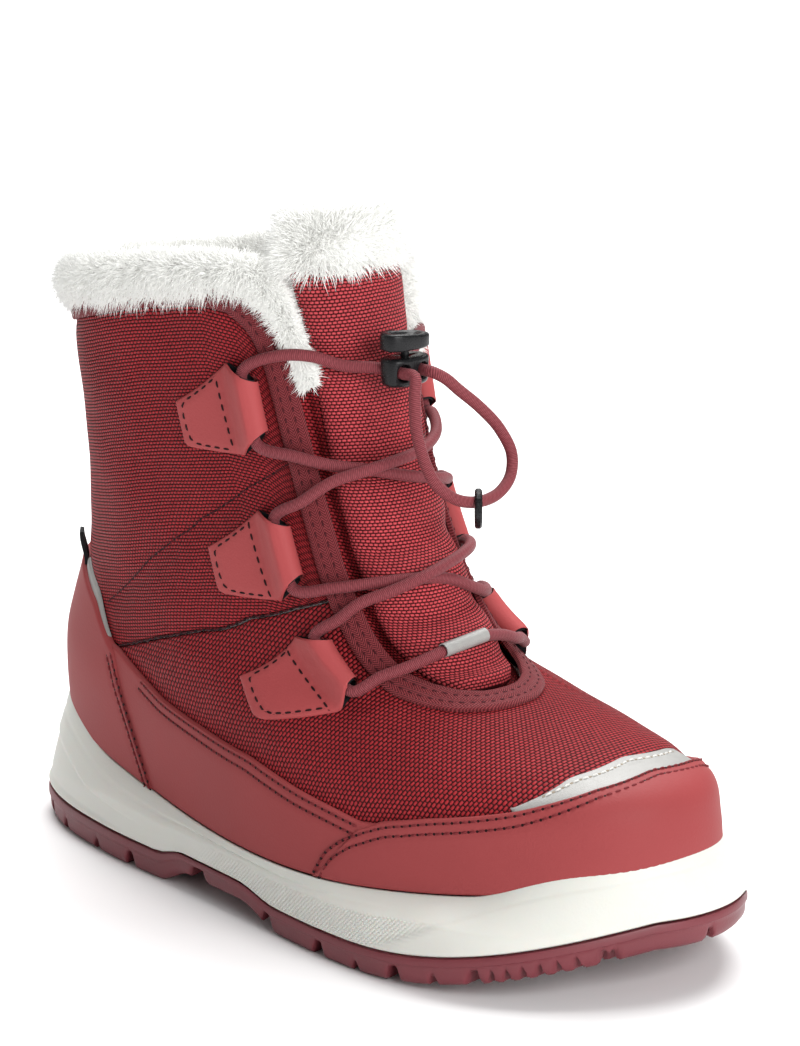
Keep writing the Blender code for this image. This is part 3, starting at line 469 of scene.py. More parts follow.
def flat_pattern(points):
    """Cloth coordinates in mm of a skin laid flat, with its middle column upright."""
    rows, columns = points.shape[:2]
    mesh = bpy.data.meshes.new("pattern")
    mesh.from_pydata(points.reshape(-1, 3).tolist(), [], grid_faces(rows, columns))
    work = new_object("pattern", mesh)
    bpy.context.view_layer.objects.active = work
    work.select_set(True)
    mesh.uv_layers.new(name="flat")
    bpy.ops.object.mode_set(mode="EDIT")
    bpy.ops.mesh.select_all(action="SELECT")
    bpy.ops.uv.unwrap(method="CONFORMAL", margin=0)
    bpy.ops.object.mode_set(mode="OBJECT")
    loops = np.zeros(len(mesh.loops) * 2)
    mesh.uv_layers["flat"].data.foreach_get("uv", loops)
    corners = np.zeros(len(mesh.loops), int)
    mesh.loops.foreach_get("vertex_index", corners)
    uv = np.zeros((rows * columns, 2))
    uv[corners] = loops.reshape(-1, 2)
    bpy.data.objects.remove(work)
    grid = uv.reshape(rows, columns, 2)
    middle = columns // 2
    run = grid[-1, middle] - grid[0, middle]
    real = np.linalg.norm(points[-1, middle] - points[0, middle])
    scale = real / np.linalg.norm(run)
    turn = math.atan2(run[0], run[1])
    c, s = math.cos(turn) * scale, math.sin(turn) * scale
    centred = grid - grid[0, middle]
    u = centred[..., 0] * c - centred[..., 1] * s
    v = centred[..., 0] * s + centred[..., 1] * c
    return np.stack([u, v, 0 * u], -1)


# ---------------------------------------------------------------- materials

class Look:
    """A material's node tree, with short calls for the nodes that these materials share."""

    def __init__(self, name, colour, roughness, **sockets):
        self.material = bpy.data.materials.new(name)
        self.material.use_nodes = True
        self.tree = self.material.node_tree
        self.shader = self.tree.nodes["Principled BSDF"]
        self.set("Base Color", (*colour, 1.0))
        self.set("Roughness", roughness)
        for socket, value in sockets.items():
            self.set(socket.replace("_", " "), value)

    def set(self, socket, value):
        """A number, a colour or another node's output on one of the shader's sockets."""
        self.feed(self.shader.inputs[socket], value)

    def feed(self, target, value):
        """A value or another node's output on a socket."""
        if isinstance(value, bpy.types.NodeSocket):
            self.tree.links.new(value, target)
        else:
            target.default_value = value

    def node(self, kind, **inputs):
        """A node with values or outputs on its sockets."""
        made = self.tree.nodes.new(kind)
        for name, value in inputs.items():
            self.feed(made.inputs[name.replace("_", " ")], value)
        return made

    def math(self, operation, *values):
        """The result of an operation on values or outputs."""
        made = self.tree.nodes.new("ShaderNodeMath")
        made.operation = operation
        for target, value in zip(made.inputs, values):
            self.feed(target, value)
        return made.outputs[0]

    def cloth(self):
        """The two cloth coordinates, in mm."""
        made = self.tree.nodes.new("ShaderNodeAttribute")
        made.attribute_name = "cloth"
        split = self.node("ShaderNodeSeparateXYZ", Vector=made.outputs["Vector"])
        return split.outputs["X"], split.outputs["Y"]

    def place(self):
        """The place on the object at rest, in metres."""
        return self.node("ShaderNodeTexCoord").outputs["Object"]

    def noise(self, scale, detail=3.0, vector=None, rough=0.5):
        """A noise over the object, or over another vector."""
        made = self.node("ShaderNodeTexNoise", Scale=scale, Detail=detail, Roughness=rough)
        self.feed(made.inputs["Vector"], self.place() if vector is None else vector)
        return made.outputs["Fac"]

    def ramp(self, value, stops):
        """A colour or grey that follows a value through (position, colour) stops."""
        made = self.node("ShaderNodeValToRGB", Fac=value)
        line = made.color_ramp.elements
        while len(line) < len(stops):
            line.new(0.5)
        for element, (position, colour) in zip(line, stops):
            element.position = position
            element.color = (*colour, 1.0)
        return made.outputs["Color"]

    def mix(self, factor, first, second):
        """A colour between two."""
        made = self.tree.nodes.new("ShaderNodeMix")
        made.data_type = "RGBA"
        self.feed(made.inputs["Factor"], factor)
        for target, value in ((made.inputs[6], first), (made.inputs[7], second)):
            self.feed(target, (*value, 1.0) if isinstance(value, tuple) else value)
        return made.outputs[2]

    def times(self, first, second):
        """A product."""
        return self.math("MULTIPLY", first, second)

    def cells(self, scale):
        """Distances from the middles of small cells."""
        return self.node("ShaderNodeTexVoronoi", Scale=scale, Vector=self.place()).outputs["Distance"]

    def scaled(self, value, factor, offset):
        """value * factor + offset."""
        return self.math("MULTIPLY_ADD", value, factor, offset)

    def wave(self, phase):
        """A sine from 0 to 1."""
        return self.scaled(self.math("SINE", phase), 0.5, 0.5)

    def rough(self, value, factor, offset):
        """A roughness of value * factor + offset."""
        self.set("Roughness", self.scaled(value, factor, offset))

    def finish(self, height, depth, strength=1.0, under=None):
        """The shader's bump, and the finished material."""
        self.set("Normal", self.bump(height, depth, strength, under))
        return self.material

    def bump(self, height, depth, strength=1.0, under=None):
        """A bump of a depth in mm, over another one."""
        made = self.node("ShaderNodeBump", Strength=strength, Distance=depth * MM, Height=height)
        if under is not None:
            self.feed(made.inputs["Normal"], under)
        return made.outputs["Normal"]


def shade(colour, factor, extra=0.0):
    """A lighter or a darker colour."""
    return tuple(min(1.0, c * factor + extra) for c in colour)


def linear(red, green, blue):
    """A linear colour from screen values of 0 to 255."""
    return tuple(((c / 255 + 0.055) / 1.055) ** 2.4 if c > 10 else c / 3294.6
                 for c in (red, green, blue))


BEAD, WEFT = 1.18, 0.82        # pitch along and across the weft of the cloth, in mm


def weave_look(name, yarn, gap):
    """A dense plain weave of thick flat yarns, seen as rows of beads, with painted shade between them.
    """
    look = Look(name, yarn, 0.66, Specular_IOR_Level=0.12)
    u, v = look.cloth()
    wobble = look.times(look.math("SUBTRACT", look.noise(90.0), 0.5), 0.7)
    u = look.math("ADD", u, wobble)
    v = look.math("ADD", v, wobble)
    row = look.math("FLOOR", look.times(v, 1 / WEFT))
    shift = look.times(look.math("FLOORED_MODULO", row, 2.0), 0.5)
    phase = look.scaled(u, 1 / BEAD, shift)
    across = look.math("ABSOLUTE", look.math("SINE", look.times(phase, math.pi)))
    down = look.math("ABSOLUTE", look.math("SINE", look.times(v, math.pi / WEFT)))
    height = look.times(look.math("POWER", across, 0.4),
                       look.math("POWER", down, 0.6))
    strands = look.node("ShaderNodeCombineXYZ", X=look.times(u, 0.35),
                        Y=look.times(v, 1.16), Z=0.0)
    tone = look.noise(1.0, 2.0, strands.outputs[0])
    patch = look.noise(28.0, 2.0)
    # Yarn tone that differs at random; its wide bright end also stands in as a painted highlight on
    # the beads.
    yarn_tone_and_highlight = look.scaled(tone, 0.55, look.times(patch, 0.35))
    cloth = look.mix(yarn_tone_and_highlight, shade(yarn, 0.5), shade(yarn, 2.5))
    # Painted shade: the colour sinks into the dark gap colour down the beads' flanks and between the
    # rows.
    depth = look.ramp(height, ((0.32, (0.0,) * 3), (0.88, (1.0,) * 3)))
    look.set("Base Color", look.mix(depth, gap, cloth))
    look.rough(height, -0.18, 0.70)
    soft = look.bump(look.noise(160.0, 3.0), 0.12)
    return look.finish(height, 0.34, 1.0, soft)


def coated_look(name, colour):
    """A matt coated leather with a fine grain and slight scuffs."""
    look = Look(name, colour, 0.56, Specular_IOR_Level=0.14)
    fine = look.noise(2600.0, 2.0)
    broad = look.noise(26.0, 3.0)
    light = shade(colour, 1.14)
    tone = look.mix(broad, shade(colour, 0.86), light)
    look.set("Base Color", look.mix(look.times(fine, 0.25), tone, light))
    look.rough(broad, 0.16, 0.5)
    return look.finish(fine, 0.035, 1.0, look.bump(look.cells(1500.0), 0.05, 0.6))


def tape_look(name, colour):
    """A woven binding tape with two rows of herringbone, drawn in painted shade and highlight."""
    look = Look(name, colour, 0.7, Sheen_Weight=0.06, Sheen_Roughness=0.5, Specular_IOR_Level=0.15)
    s, a = look.cloth()
    slope = look.times(look.math("PINGPONG", a, 1.1), 1.2)
    ridge = look.wave(look.times(look.math("ADD", s, slope), math.tau / 0.72))
    broken = look.times(ridge, look.scaled(look.noise(900.0), 0.7, 0.6))
    # Painted shade and highlight: dark in the twill's valleys and light on its ridges.
    look.set("Base Color", look.ramp(broken, ((0.08, shade(colour, 0.5)), (0.5, colour),
                                              (0.95, shade(colour, 1.35, 0.01)))))
    return look.finish(broken, 0.2)


def cord_look(name, colour):
    """The fine diagonal braid of an elastic cord, with painted shade in its grooves and a painted
    highlight on its ribs.
    """
    look = Look(name, colour, 0.6, Sheen_Weight=0.08, Sheen_Roughness=0.4, Specular_IOR_Level=0.2)
    s, a = look.cloth()
    rib = look.wave(look.scaled(s, math.tau / 0.42, look.times(a, 4.0)))
    cross = look.wave(look.scaled(s, -math.tau / 1.3, look.times(a, 4.0)))
    height = look.times(rib, look.scaled(cross, 0.35, 0.65))
    # Painted shade and highlight: the colour follows the braid's height, dark in the grooves and light
    # on the ribs.
    look.set("Base Color", look.ramp(look.scaled(look.noise(1500.0), 0.3, height),
                                     ((0.05, shade(colour, 0.5)), (0.5, colour),
                                      (1.0, shade(colour, 1.45, 0.015)))))
    return look.finish(height, 0.07)


def foam_look():
    """Off-white moulded foam with a fine grain, and a knurl where the mesh asks for it."""
    base = linear(207, 207, 200)
    look = Look("midsole foam", base, 0.5, Subsurface_Weight=0.12, Subsurface_Scale=0.004,
                Specular_IOR_Level=0.4)
    u, v = look.cloth()
    grain = look.noise(1400.0, 3.0)
    broad = look.noise(30.0, 3.0)
    look.set("Base Color", look.mix(broad, shade(base, 0.93), shade(base, 1.05)))
    look.rough(broad, 0.15, 0.44)
    dots = look.times(look.math("SINE", look.times(u, math.tau / 1.2)),
                     look.math("SINE", look.times(v, math.tau / 1.2)))
    zone = look.tree.nodes.new("ShaderNodeAttribute")
    zone.attribute_name = "knurl"
    knurl = look.times(dots, zone.outputs["Fac"])
    return look.finish(knurl, 0.1, 1.0, look.bump(grain, 0.05))


def rubber_look(name, colour):
    """Moulded rubber, a little worn and dusty on its lugs."""
    look = Look(name, colour, 0.48, Specular_IOR_Level=0.45)
    broad = look.noise(45.0, 4.0)
    look.set("Base Color", look.mix(broad, shade(colour, 0.72), shade(colour, 1.25)))
    look.rough(broad, 0.22, 0.36)
    return look.finish(look.noise(1800.0, 3.0), 0.05)


def plastic_look():
    """Black moulded plastic with the fine spark-eroded texture of its mould."""
    look = Look("black plastic", (0.008, 0.008, 0.009), 0.3, Specular_IOR_Level=0.22)
    fine = look.noise(2400.0, 2.0)
    look.rough(fine, 0.2, 0.18)
    look.set("Base Color", look.mix(look.noise(300.0), (0.006, 0.006, 0.007), (0.013, 0.013, 0.014)))
    return look.finish(fine, 0.04)


def reflective_look():
    """Silver reflective film on cloth, with tiny glass beads."""
    base = linear(164, 163, 160)
    look = Look("reflective film", base, 0.5, Metallic=0.15, Specular_IOR_Level=0.4)
    wear = look.noise(500.0, 4.0)
    look.set("Base Color", look.mix(wear, shade(base, 0.78), base))
    look.rough(wear, 0.3, 0.34)
    return look.finish(look.cells(3500.0), 0.05)


def fibre_look(name, colour, dark):
    """White pile: soft fibres that scatter light, drawn with a painted glow."""
    look = Look(name, colour, 0.85, Sheen_Weight=0.2, Sheen_Roughness=0.6,
                Specular_IOR_Level=0.2)
    look.set("Base Color", look.mix(look.noise(160.0, 3.0), dark, colour))
    look.set("Emission Color", (1.0, 1.0, 0.975, 1.0))
    look.set("Emission Strength", 0.19)       # painted glow, standing in for light scattered between the fibres
    return look.material


def fleece_look(name, colour):
    """Short warm pile, tufted by its own bump."""
    look = Look(name, colour, 0.95, Sheen_Weight=0.35, Sheen_Roughness=0.6)
    tuft = look.noise(420.0, 4.0, rough=0.7)
    look.set("Base Color", look.mix(tuft, shade(colour, 0.85), colour))
    return look.finish(tuft, 1.2, 0.9)


def thread_look(name, colour):
    """Twisted sewing thread."""
    look = Look(name, colour, 0.65, Specular_IOR_Level=0.15)
    look.set("Base Color", look.mix(look.noise(1800.0, 2.0), shade(colour, 0.55), shade(colour, 1.4)))
    return look.material


def board_look():
    """Felted fibre board."""
    look = Look("fibre board", linear(140, 128, 112), 0.9)
    look.set("Base Color", look.mix(look.noise(700.0), linear(110, 100, 86), linear(160, 148, 130)))
    return look.finish(look.noise(1500.0), 0.1)


def steel_look():
    """Drawn spring wire."""
    look = Look("spring wire", (0.62, 0.62, 0.62), 0.3, Metallic=1.0)
    look.rough(look.noise(2500.0), 0.2, 0.2)
    return look.material


# The second colour of each weave is the painted shade between its yarns.
TEXTILE_LOOK = weave_look("woven textile", linear(138, 36, 41), linear(44, 7, 11))
# The tongue's yarn is lighter than the quarters': partly its own tone, partly painted light for the
# tongue that faces the lamps.
TONGUE_LOOK = weave_look("tongue textile", linear(164, 60, 65), linear(54, 11, 15))
COATED_LOOK = coated_look("coated leather", linear(144, 62, 63))
LOOP_LOOK = coated_look("loop leather", linear(164, 72, 73))
TAPE_LOOK = tape_look("herringbone tape", linear(121, 44, 49))
CORD_LOOK = cord_look("braided cord", linear(118, 50, 56))
FOAM_LOOK = foam_look()
RUBBER_LOOK = rubber_look("tread rubber", linear(110, 42, 50))
PLASTIC_LOOK = plastic_look()
SILVER_LOOK = reflective_look()
# The pile's colours are held below white; its painted glow lifts them back.
PILE_LOOK = fibre_look("pile fibres", (0.84, 0.84, 0.815), (0.79, 0.79, 0.765))
FLEECE_LOOK = fleece_look("fleece", (0.86, 0.855, 0.835))
THREAD_LOOK = thread_look("rose thread", linear(112, 40, 44))
LOOP_THREAD_LOOK = thread_look("black thread", linear(34, 14, 17))
QUILT_THREAD_LOOK = thread_look("quilting thread", linear(70, 24, 30))
WHITE_THREAD_LOOK = thread_look("pale thread", linear(214, 213, 208))
# Painted shade: dark discs stand in for the shadow in the needle holes.
HOLE_SHADE_LOOK = thread_look("painted hole shade", linear(30, 9, 12))
BOARD_LOOK = board_look()
STEEL_LOOK = steel_look()
TAG_LOOK = thread_look("black tag cloth", (0.016, 0.016, 0.018))


# ---------------------------------------------------------------- stitching

# A stitch's rings: their places along it, their widths, their sides, and how far its ends dive.
STITCH_PLACES = np.array((-0.5, -0.42, -0.22, 0.0, 0.22, 0.42, 0.5))
STITCH_WIDTHS = np.array((0.35, 0.8, 1.0, 1.0, 1.0, 0.8, 0.35))
STITCH_SIDES, STITCH_DIP = 6, 0.30


def stitch_meshes(points, normals, length, gap, radius):
    """Short arched threads along a line of points with their normals, and discs for the holes between
    them.
    """
    at = run_length(points)
    count = int((at[-1] + gap) / (length + gap))
    if count < 1:
        return [], []
    starts = (at[-1] - count * (length + gap) + gap) / 2 + np.arange(count) * (length + gap)
    turns = np.arange(STITCH_SIDES) * math.tau / STITCH_SIDES
    cos, sin = np.cos(turns)[:, None], np.sin(turns)[:, None]
    dive = STITCH_DIP * (2 * STITCH_PLACES[:, None]) ** 4
    threads = []
    for start in starts:
        where = start + (STITCH_PLACES + 0.5) * length
        middle, normal = along_line(where, at, points), along_line(where, at, normals)
        ends = along_line([start, start + length], at, points)
        side = unit(np.cross(normal, ends[1:] - ends[:1]))
        middle = middle + normal * (radius * 0.5 - dive)
        threads.append(loft(middle[:, None] + STITCH_WIDTHS[:, None, None] * radius
                            * (side[:, None] * cos + normal[:, None] * sin)))
    gaps = np.concatenate([starts - gap / 2, starts[-1:] + length + gap / 2])
    middle, normal = along_line(gaps, at, points), along_line(gaps, at, normals)
    ahead = along_line(gaps + 0.2, at, points) - along_line(gaps - 0.2, at, points)
    holes = []
    for i in range(len(gaps)):
        along = ahead[i] / max(1e-6, np.linalg.norm(ahead[i]))
        side = np.cross(normal[i], along)
        rim = middle[i] + along * cos * gap * 0.6 + side * sin * radius * 1.35
        holes.append(loft([rim + normal[i] * height for height in (-0.25, 0.05)]))
    return threads, holes


def add_stitches(name, runs, look, slot, length=1.6, gap=0.62, radius=0.27, needle=HOLE_SHADE_LOOK):
    """Threads, and discs of painted shade at the needle holes between them, along several (points,
    normals) runs.
    """
    made = [stitch_meshes(points, normals, length, gap, radius) for points, normals in runs]
    threads, holes = (sum(kind, []) for kind in zip(*made))
    add_mesh(name, *joined_meshes(threads), look, slot)
    add_mesh(name + "_hole_shade", *joined_meshes(holes), needle, slot)


def surface_run(path, offset):
    """A (phi, level) path as points and normals at an offset, which may be a function."""
    path = np.asarray(path, float)
    phi, level = path[:, 0], path[:, 1]
    lift = offset(phi, level) if callable(offset) else offset + 0 * phi
    _, normal, _, _ = surface_frame(phi, level)
    return surface(phi, level, lift), normal


# ---------------------------------------------------------------- the upper's cloth

def sewn_lines():
    """Points along every line where the textile is sewn down, on both sides."""
    cap = [point for point in CAP_TOP if point[0] <= 70]
    lines = (SEAM, UPPER_QUILTING, THROAT_TAPE, cap, FOXING_TOP, COUNTER_TOP)
    paths = [dense(path) for line in lines for path in (line, mirror(line))]
    return np.concatenate([bare_surface(path[:, 0], path[:, 1]) for path in paths])


SEWN = sewn_lines()


def distance_to(points, lines):
    """Each point's distance from the nearest of the lines' points."""
    flat = points.reshape(-1, 3)
    nearest = np.empty(len(flat))
    for start in range(0, len(flat), 400):
        block = flat[start:start + 400, None] - lines[None]
        nearest[start:start + 400] = np.sqrt((block ** 2).sum(-1).min(1))
    return nearest.reshape(points.shape[:-1])


PUFF, PUFF_REACH, SEAM_SINK, RIPPLE = 0.95, 4.2, 0.15, 0.16     # mm


def puff(phi, level):
    """How far the padded textile stands out between the lines where it is sewn down."""
    points = bare_surface(phi, level)
    nearest = distance_to(points, SEWN)
    ripple = (RIPPLE * np.sin(points[..., 0] * 0.21 + points[..., 2] * 0.13)
              * np.sin(points[..., 2] * 0.17 - points[..., 0] * 0.07 + 1.0))
    return PUFF * (1 - np.exp(-(nearest / PUFF_REACH) ** 2)) - SEAM_SINK + ripple * ease(nearest / 6)


def make_textile():
    """The vamp and the two quarters."""
    seam = edge(SEAM)
    vamp_top = edge(THROAT + tuple((a, level - 0.003) for a, level in SEAM[1:]))
    vamp = Panel(((-137, -137), (137, 137)), level_edge(SOLE_EDGE), vamp_top, 1.6)
    skins = vamp.skins(TEXTILE, puff(vamp.phi, vamp.level))
    add_sheet("vamp_textile", skins, TEXTILE_LOOK, "upper_textile", nodes=["vamp"],
              cloth=flat_pattern(skins[1]))
    for side, sign in SIDES:
        ends = ((sign * 38, sign * 38), (sign * 180, sign * 180))
        quarter = Panel(ends, lambda phi: seam(phi) + 0.001, edge(COLLAR_TOP), 1.6)
        skins = quarter.skins(TEXTILE, puff(quarter.phi, quarter.level))
        add_sheet(f"quarter_{side}_textile", skins, TEXTILE_LOOK, "upper_textile",
                  nodes=[f"quarter_{side}"], cloth=quarter.cloth())


def make_linings():
    """The warm lining of the foot and of the shaft."""
    ring = Panel(((0, 0), (359.99, 359.99)), level_edge(SOLE_EDGE), level_edge(0.40), 3)
    add_sheet("vamp_fleece", ring.skins(LINING), FLEECE_LOOK, "lining_pile", nodes=["vamp_lining"])
    shaft = Panel(((-43, -43), (-317, -317)), level_edge(0.40), level_edge(0.985), 2.5)
    add_sheet("quarter_fleece", shaft.skins(LINING), FLEECE_LOOK, "lining_pile",
              nodes=["quarter_lining"])


def stitch_trough(panel, runs, depth=0.28, width=0.7):
    """How far a coated panel sinks along its stitch rows."""
    lines = np.concatenate([bare_surface(path[:, 0], path[:, 1]) for path in runs])
    nearest = distance_to(bare_surface(panel.phi, panel.level), lines)
    return -depth * np.exp(-(nearest / width) ** 2)


def edge_rows(path, side, distances=(1.2, 3.3)):
    """Stitch rows beside an edge, as fine (phi, level) paths."""
    fine = dense(path, 0.004)
    fine = smooth_path(fine[::6], 220)
    steps = sideways(fine)
    return [fine + steps * side * distance for distance in distances]


def make_overlays():
    """The coated panels round the foot, each with its double row of stitches."""
    flat = level_edge(SOLE_EDGE)
    runs = []

    def coated(name, ends, high, rows, lift=0.0):
        panel = Panel(ends, flat, high, 1.15)
        skins = panel.skins(OVERLAY, lift + stitch_trough(panel, rows))
        add_sheet(name + "_leather", skins, COATED_LOOK, "coated_overlay", nodes=[name])
        runs.extend(surface_run(path, OVERLAY[1] - 0.2 + lift) for path in rows)

    for name, sign in (("mudguard_lateral", -1), ("mudguard_medial", 1)):
        ends = ((sign * (CAP_PHI - 6), sign * (CAP_PHI - PANEL_SLANT - 5)),
                (sign * (COUNTER_PHI + 3), sign * (COUNTER_PHI + COUNTER_SLANT + 2)))
        top = [(sign * a, level) for a, level in FOXING_TOP if a <= 122]
        coated(name, ends, edge(FOXING_TOP), edge_rows(top, sign))
    cap_side = [(-CAP_PHI + 0.4, 0.02), (-CAP_PHI + 2.6, 0.06), (-CAP_PHI + 6, 0.095),
                (-70, 0.113), (-66, 0.134)]
    cap_top = [(-phi, level) for phi, level in reversed(CAP_TOP) if phi < 60]
    whole = cap_side + cap_top + mirror(reversed(cap_side + cap_top[:-1]))
    coated("toe_cap", ((-CAP_PHI, PANEL_SLANT - CAP_PHI), (CAP_PHI, CAP_PHI - PANEL_SLANT)),
           edge(CAP_TOP), edge_rows(whole, 1), 0.6)
    counter_side = [(-COUNTER_PHI, 0.01), (-COUNTER_PHI - 3.5, 0.075),
                    (-COUNTER_PHI - 7.5, 0.15), (-COUNTER_PHI - 12.5, 0.235)]
    rows = edge_rows(counter_side, -1) + edge_rows(mirror(counter_side), 1)
    coated("heel_counter", ((-COUNTER_PHI, -COUNTER_PHI - COUNTER_SLANT),
                            (COUNTER_PHI - 360, COUNTER_PHI + COUNTER_SLANT - 360)),
           edge(COUNTER_TOP), rows, 0.7)
    add_stitches("overlay_stitches", runs, THREAD_LOOK, "coated_overlay")


def make_reflectives():
    """The silver crescent above the toe cap, and the strip and tag at the heel."""
    cap_top = edge(CAP_TOP)
    crescent = edge(((0, 0.040), (22, 0.036), (40, 0.006), (180, 0.006)))
    strip = Panel(((-41, -41), (25, 25)), lambda phi: cap_top(phi) - 0.012,
                  lambda phi: cap_top(phi) + 0.004 + crescent(phi), 1.2)
    middle = np.column_stack([np.linspace(-33, 22, 120), np.zeros(120)])
    middle[:, 1] = cap_top(middle[:, 0]) + 0.006 + 0.62 * crescent(middle[:, 0])
    skins = strip.skins((0.2, 0.85), stitch_trough(strip, [middle], 0.2, 0.8))
    add_sheet("toe_crescent", skins, SILVER_LOOK, "reflective", nodes=["toe_reflective_strip"])
    add_stitches("crescent_stitches", [surface_run(middle, 0.7)], WHITE_THREAD_LOOK, "reflective",
                 length=1.7, gap=0.7, radius=0.24, needle=BOARD_LOOK)
    counter_top = edge(COUNTER_TOP)
    heel = Panel(((-128, -127.5), (-150, -150)), lambda phi: counter_top(phi) - 0.01,
                 lambda phi: counter_top(phi) + 0.004 + 0.018 * ease((fold(phi) - 127) / 10), 1.0)
    add_sheet("heel_strip", heel.skins((0.2, 0.95)), SILVER_LOOK, "reflective",
              nodes=["heel_reflective_trim"])
    tag = Panel(((-150.5, -152.5), (-158, -156)), lambda phi: counter_top(phi) - 0.01,
                lambda phi: counter_top(phi) + 0.075, 0.8)
    stand = 2.2 * ease(tag.up)
    skins = [surface(tag.phi, tag.level, out + stand) for out in (0.3, 1.3)]
    add_sheet("heel_side_tag", skins, TAG_LOOK, "label", nodes=["heel_tag"])


def make_quilting():
    """Threads along the two quilted seams on each side."""
    runs = [surface_run(dense(path, 0.006), puff) for line in (SEAM[1:7], UPPER_QUILTING)
            for path in (mirror(line), line)]
    add_stitches("quilting_stitches", runs, QUILT_THREAD_LOOK, "upper_textile", length=1.9, gap=1.0,
                 radius=0.22)


def tape_mesh(path):
    """A slightly crowned tape along a (phi, level) path, with its cloth coordinates."""
    half, height, base = TAPE_HALF, TAPE_HEIGHT, TAPE_FOOT
    section = [(-half, base), (-half, 0.75 * height), (-half + 0.3, 0.97 * height)]
    section += [(a * half, height + 0.12 * (1 - a * a)) for a in (-0.6, -0.1, 0.0, 0.1, 0.6)]
    section += [(half - 0.3, 0.97 * height), (half, 0.75 * height), (half, base)]
    at = run_length(bare_surface(path[:, 0], path[:, 1]))
    rings = [[surface(*(place - step * a), b) for a, b in section]
             for place, step in zip(path, sideways(path))]
    return loft(rings), [(distance, a, 0) for distance in at for a, _ in section]


def make_tapes():
    """The herringbone tape round the throat and on under the pile, sewn down in two rows."""
    whole = dense(THROAT_TAPE + mirror(reversed(THROAT_TAPE[:-1])), 0.03)
    path = smooth_path(whole, 620)
    first, last = np.flatnonzero(path[:, 1] < TAPE_SPLIT)[[0, -1]]
    parts = {"throat": path[first:last + 1],
             "collar": np.concatenate([path[last:-1] - (360, 0), path[:first + 1]])}
    runs = []
    for name, line in parts.items():
        mesh, cloth = tape_mesh(line)
        add_mesh(f"{name}_tape", *mesh, TAPE_LOOK, "tape", nodes=[f"{name}_binding"], cloth=cloth)
        fine = smooth_path(line[::4], 700)
        steps = sideways(fine)
        runs += [surface_run(fine + steps * away, TAPE_HEIGHT + 0.01)
                 for away in (-TAPE_STITCHES, TAPE_STITCHES)]
    add_stitches("tape_stitches", runs, QUILT_THREAD_LOOK, "tape", length=1.5, gap=1.0, radius=0.2)


# ---------------------------------------------------------------- tongue

PILLOWS = (0.475, 0.56, 0.655, 0.76, 0.90, 1.035)     # levels of the tongue's sewn channels
TONGUE_TOP = 1.045
TONGUE_BACK, TONGUE_CORE, CHANNEL_FRONT, PILLOW_RISE = -5.0, -1.8, 0.9, 2.1     # offsets in mm


def tongue_front(level, share):
    """The tongue's front offset: pillows between its channels, fuller in the middle."""
    nearest = np.min(np.abs(np.asarray(level)[..., None] - np.array(PILLOWS)), axis=-1)
    rise = 1.0 - np.exp(-(nearest / 0.02) ** 2)
    return CHANNEL_FRONT + PILLOW_RISE * rise * (1 - 0.55 * np.abs(share) ** 3)


def make_tongue():
    """The padded tongue with its sewn channels, and the folded gussets beside it."""
    levels, halves = np.array(TONGUE_HALF, float).T
    rows = np.linspace(levels[0], TONGUE_TOP, 150)
    share = np.linspace(-1, 1, 61)
    middle = len(share) // 2
    phi = spline(levels, halves, rows)[:, None] * share
    level = rows[:, None] + 0 * phi
    round_off = np.sqrt(np.clip(1 - np.abs(share) ** 5 * 0.96, 0, 1)) + 0 * phi
    crown = np.sqrt(np.clip((rows - levels[0]) / 0.012, 0.05, 1))[:, None]
    skins = [surface(phi, level, TONGUE_CORE + (offset - TONGUE_CORE) * round_off * crown)
             for offset in (TONGUE_BACK, tongue_front(level, share))]
    u, v = run_across(skins[1]), run_length(skins[1][:, middle])
    u -= u[:, middle:middle + 1]
    pad = add_sheet("tongue_pad", skins, TONGUE_LOOK, "upper_textile", "tongue",
                    nodes=["tongue"], cloth=np.stack([u, v[:, None] + 0 * u, 0 * u], -1))
    for side, sign in SIDES:
        make_gusset(side, sign, levels, halves)


def make_gusset(side, sign, levels, halves):
    """A gusset: one dark fold between the tongue's edge and the facing."""
    rows = np.linspace(0.425, 0.925, 80)
    inner = np.where(rows < levels[0], 0.0, np.interp(rows, levels, halves) - 1.0)
    inner = np.minimum(inner, np.interp(rows, (0.425, 0.46), (0.0, 18.0), right=99))
    outer_edge = np.interp(rows, (0.425, 0.44, 0.46, 0.50), (18.0, 33.0, 37.5, 40.5))
    share = np.linspace(0, 1, 17)
    phi = sign * (inner[:, None] + (outer_edge - inner)[:, None] * share)
    level = rows[:, None] + 0 * phi
    fold_line = -1.9 - 1.3 * np.sin(share * math.pi) + 0.5 * np.sin(share * 3 * math.pi)
    fold_line = fold_line + 0.25 * np.sin(rows[:, None] * 90 + share * 3)
    skins = [surface(phi, level, fold_line - 0.5), surface(phi, level, fold_line)]
    u, v = run_across(skins[1]), run_length(skins[1][:, len(share) // 2])
    piece = add_sheet(f"gusset_{side}", skins, TEXTILE_LOOK, "upper_textile", None,
                      nodes=[f"tongue_gusset_{side}"],
                      cloth=np.stack([u, v[:, None] + 0 * u, 0 * u], -1))
    bend_across(piece, sign)


# ---------------------------------------------------------------- pile

FIBRE_STATIONS, FIBRE_TAPER = (0.0, 0.55, 1.0), 0.75     # shares of a fibre, and its middle's width


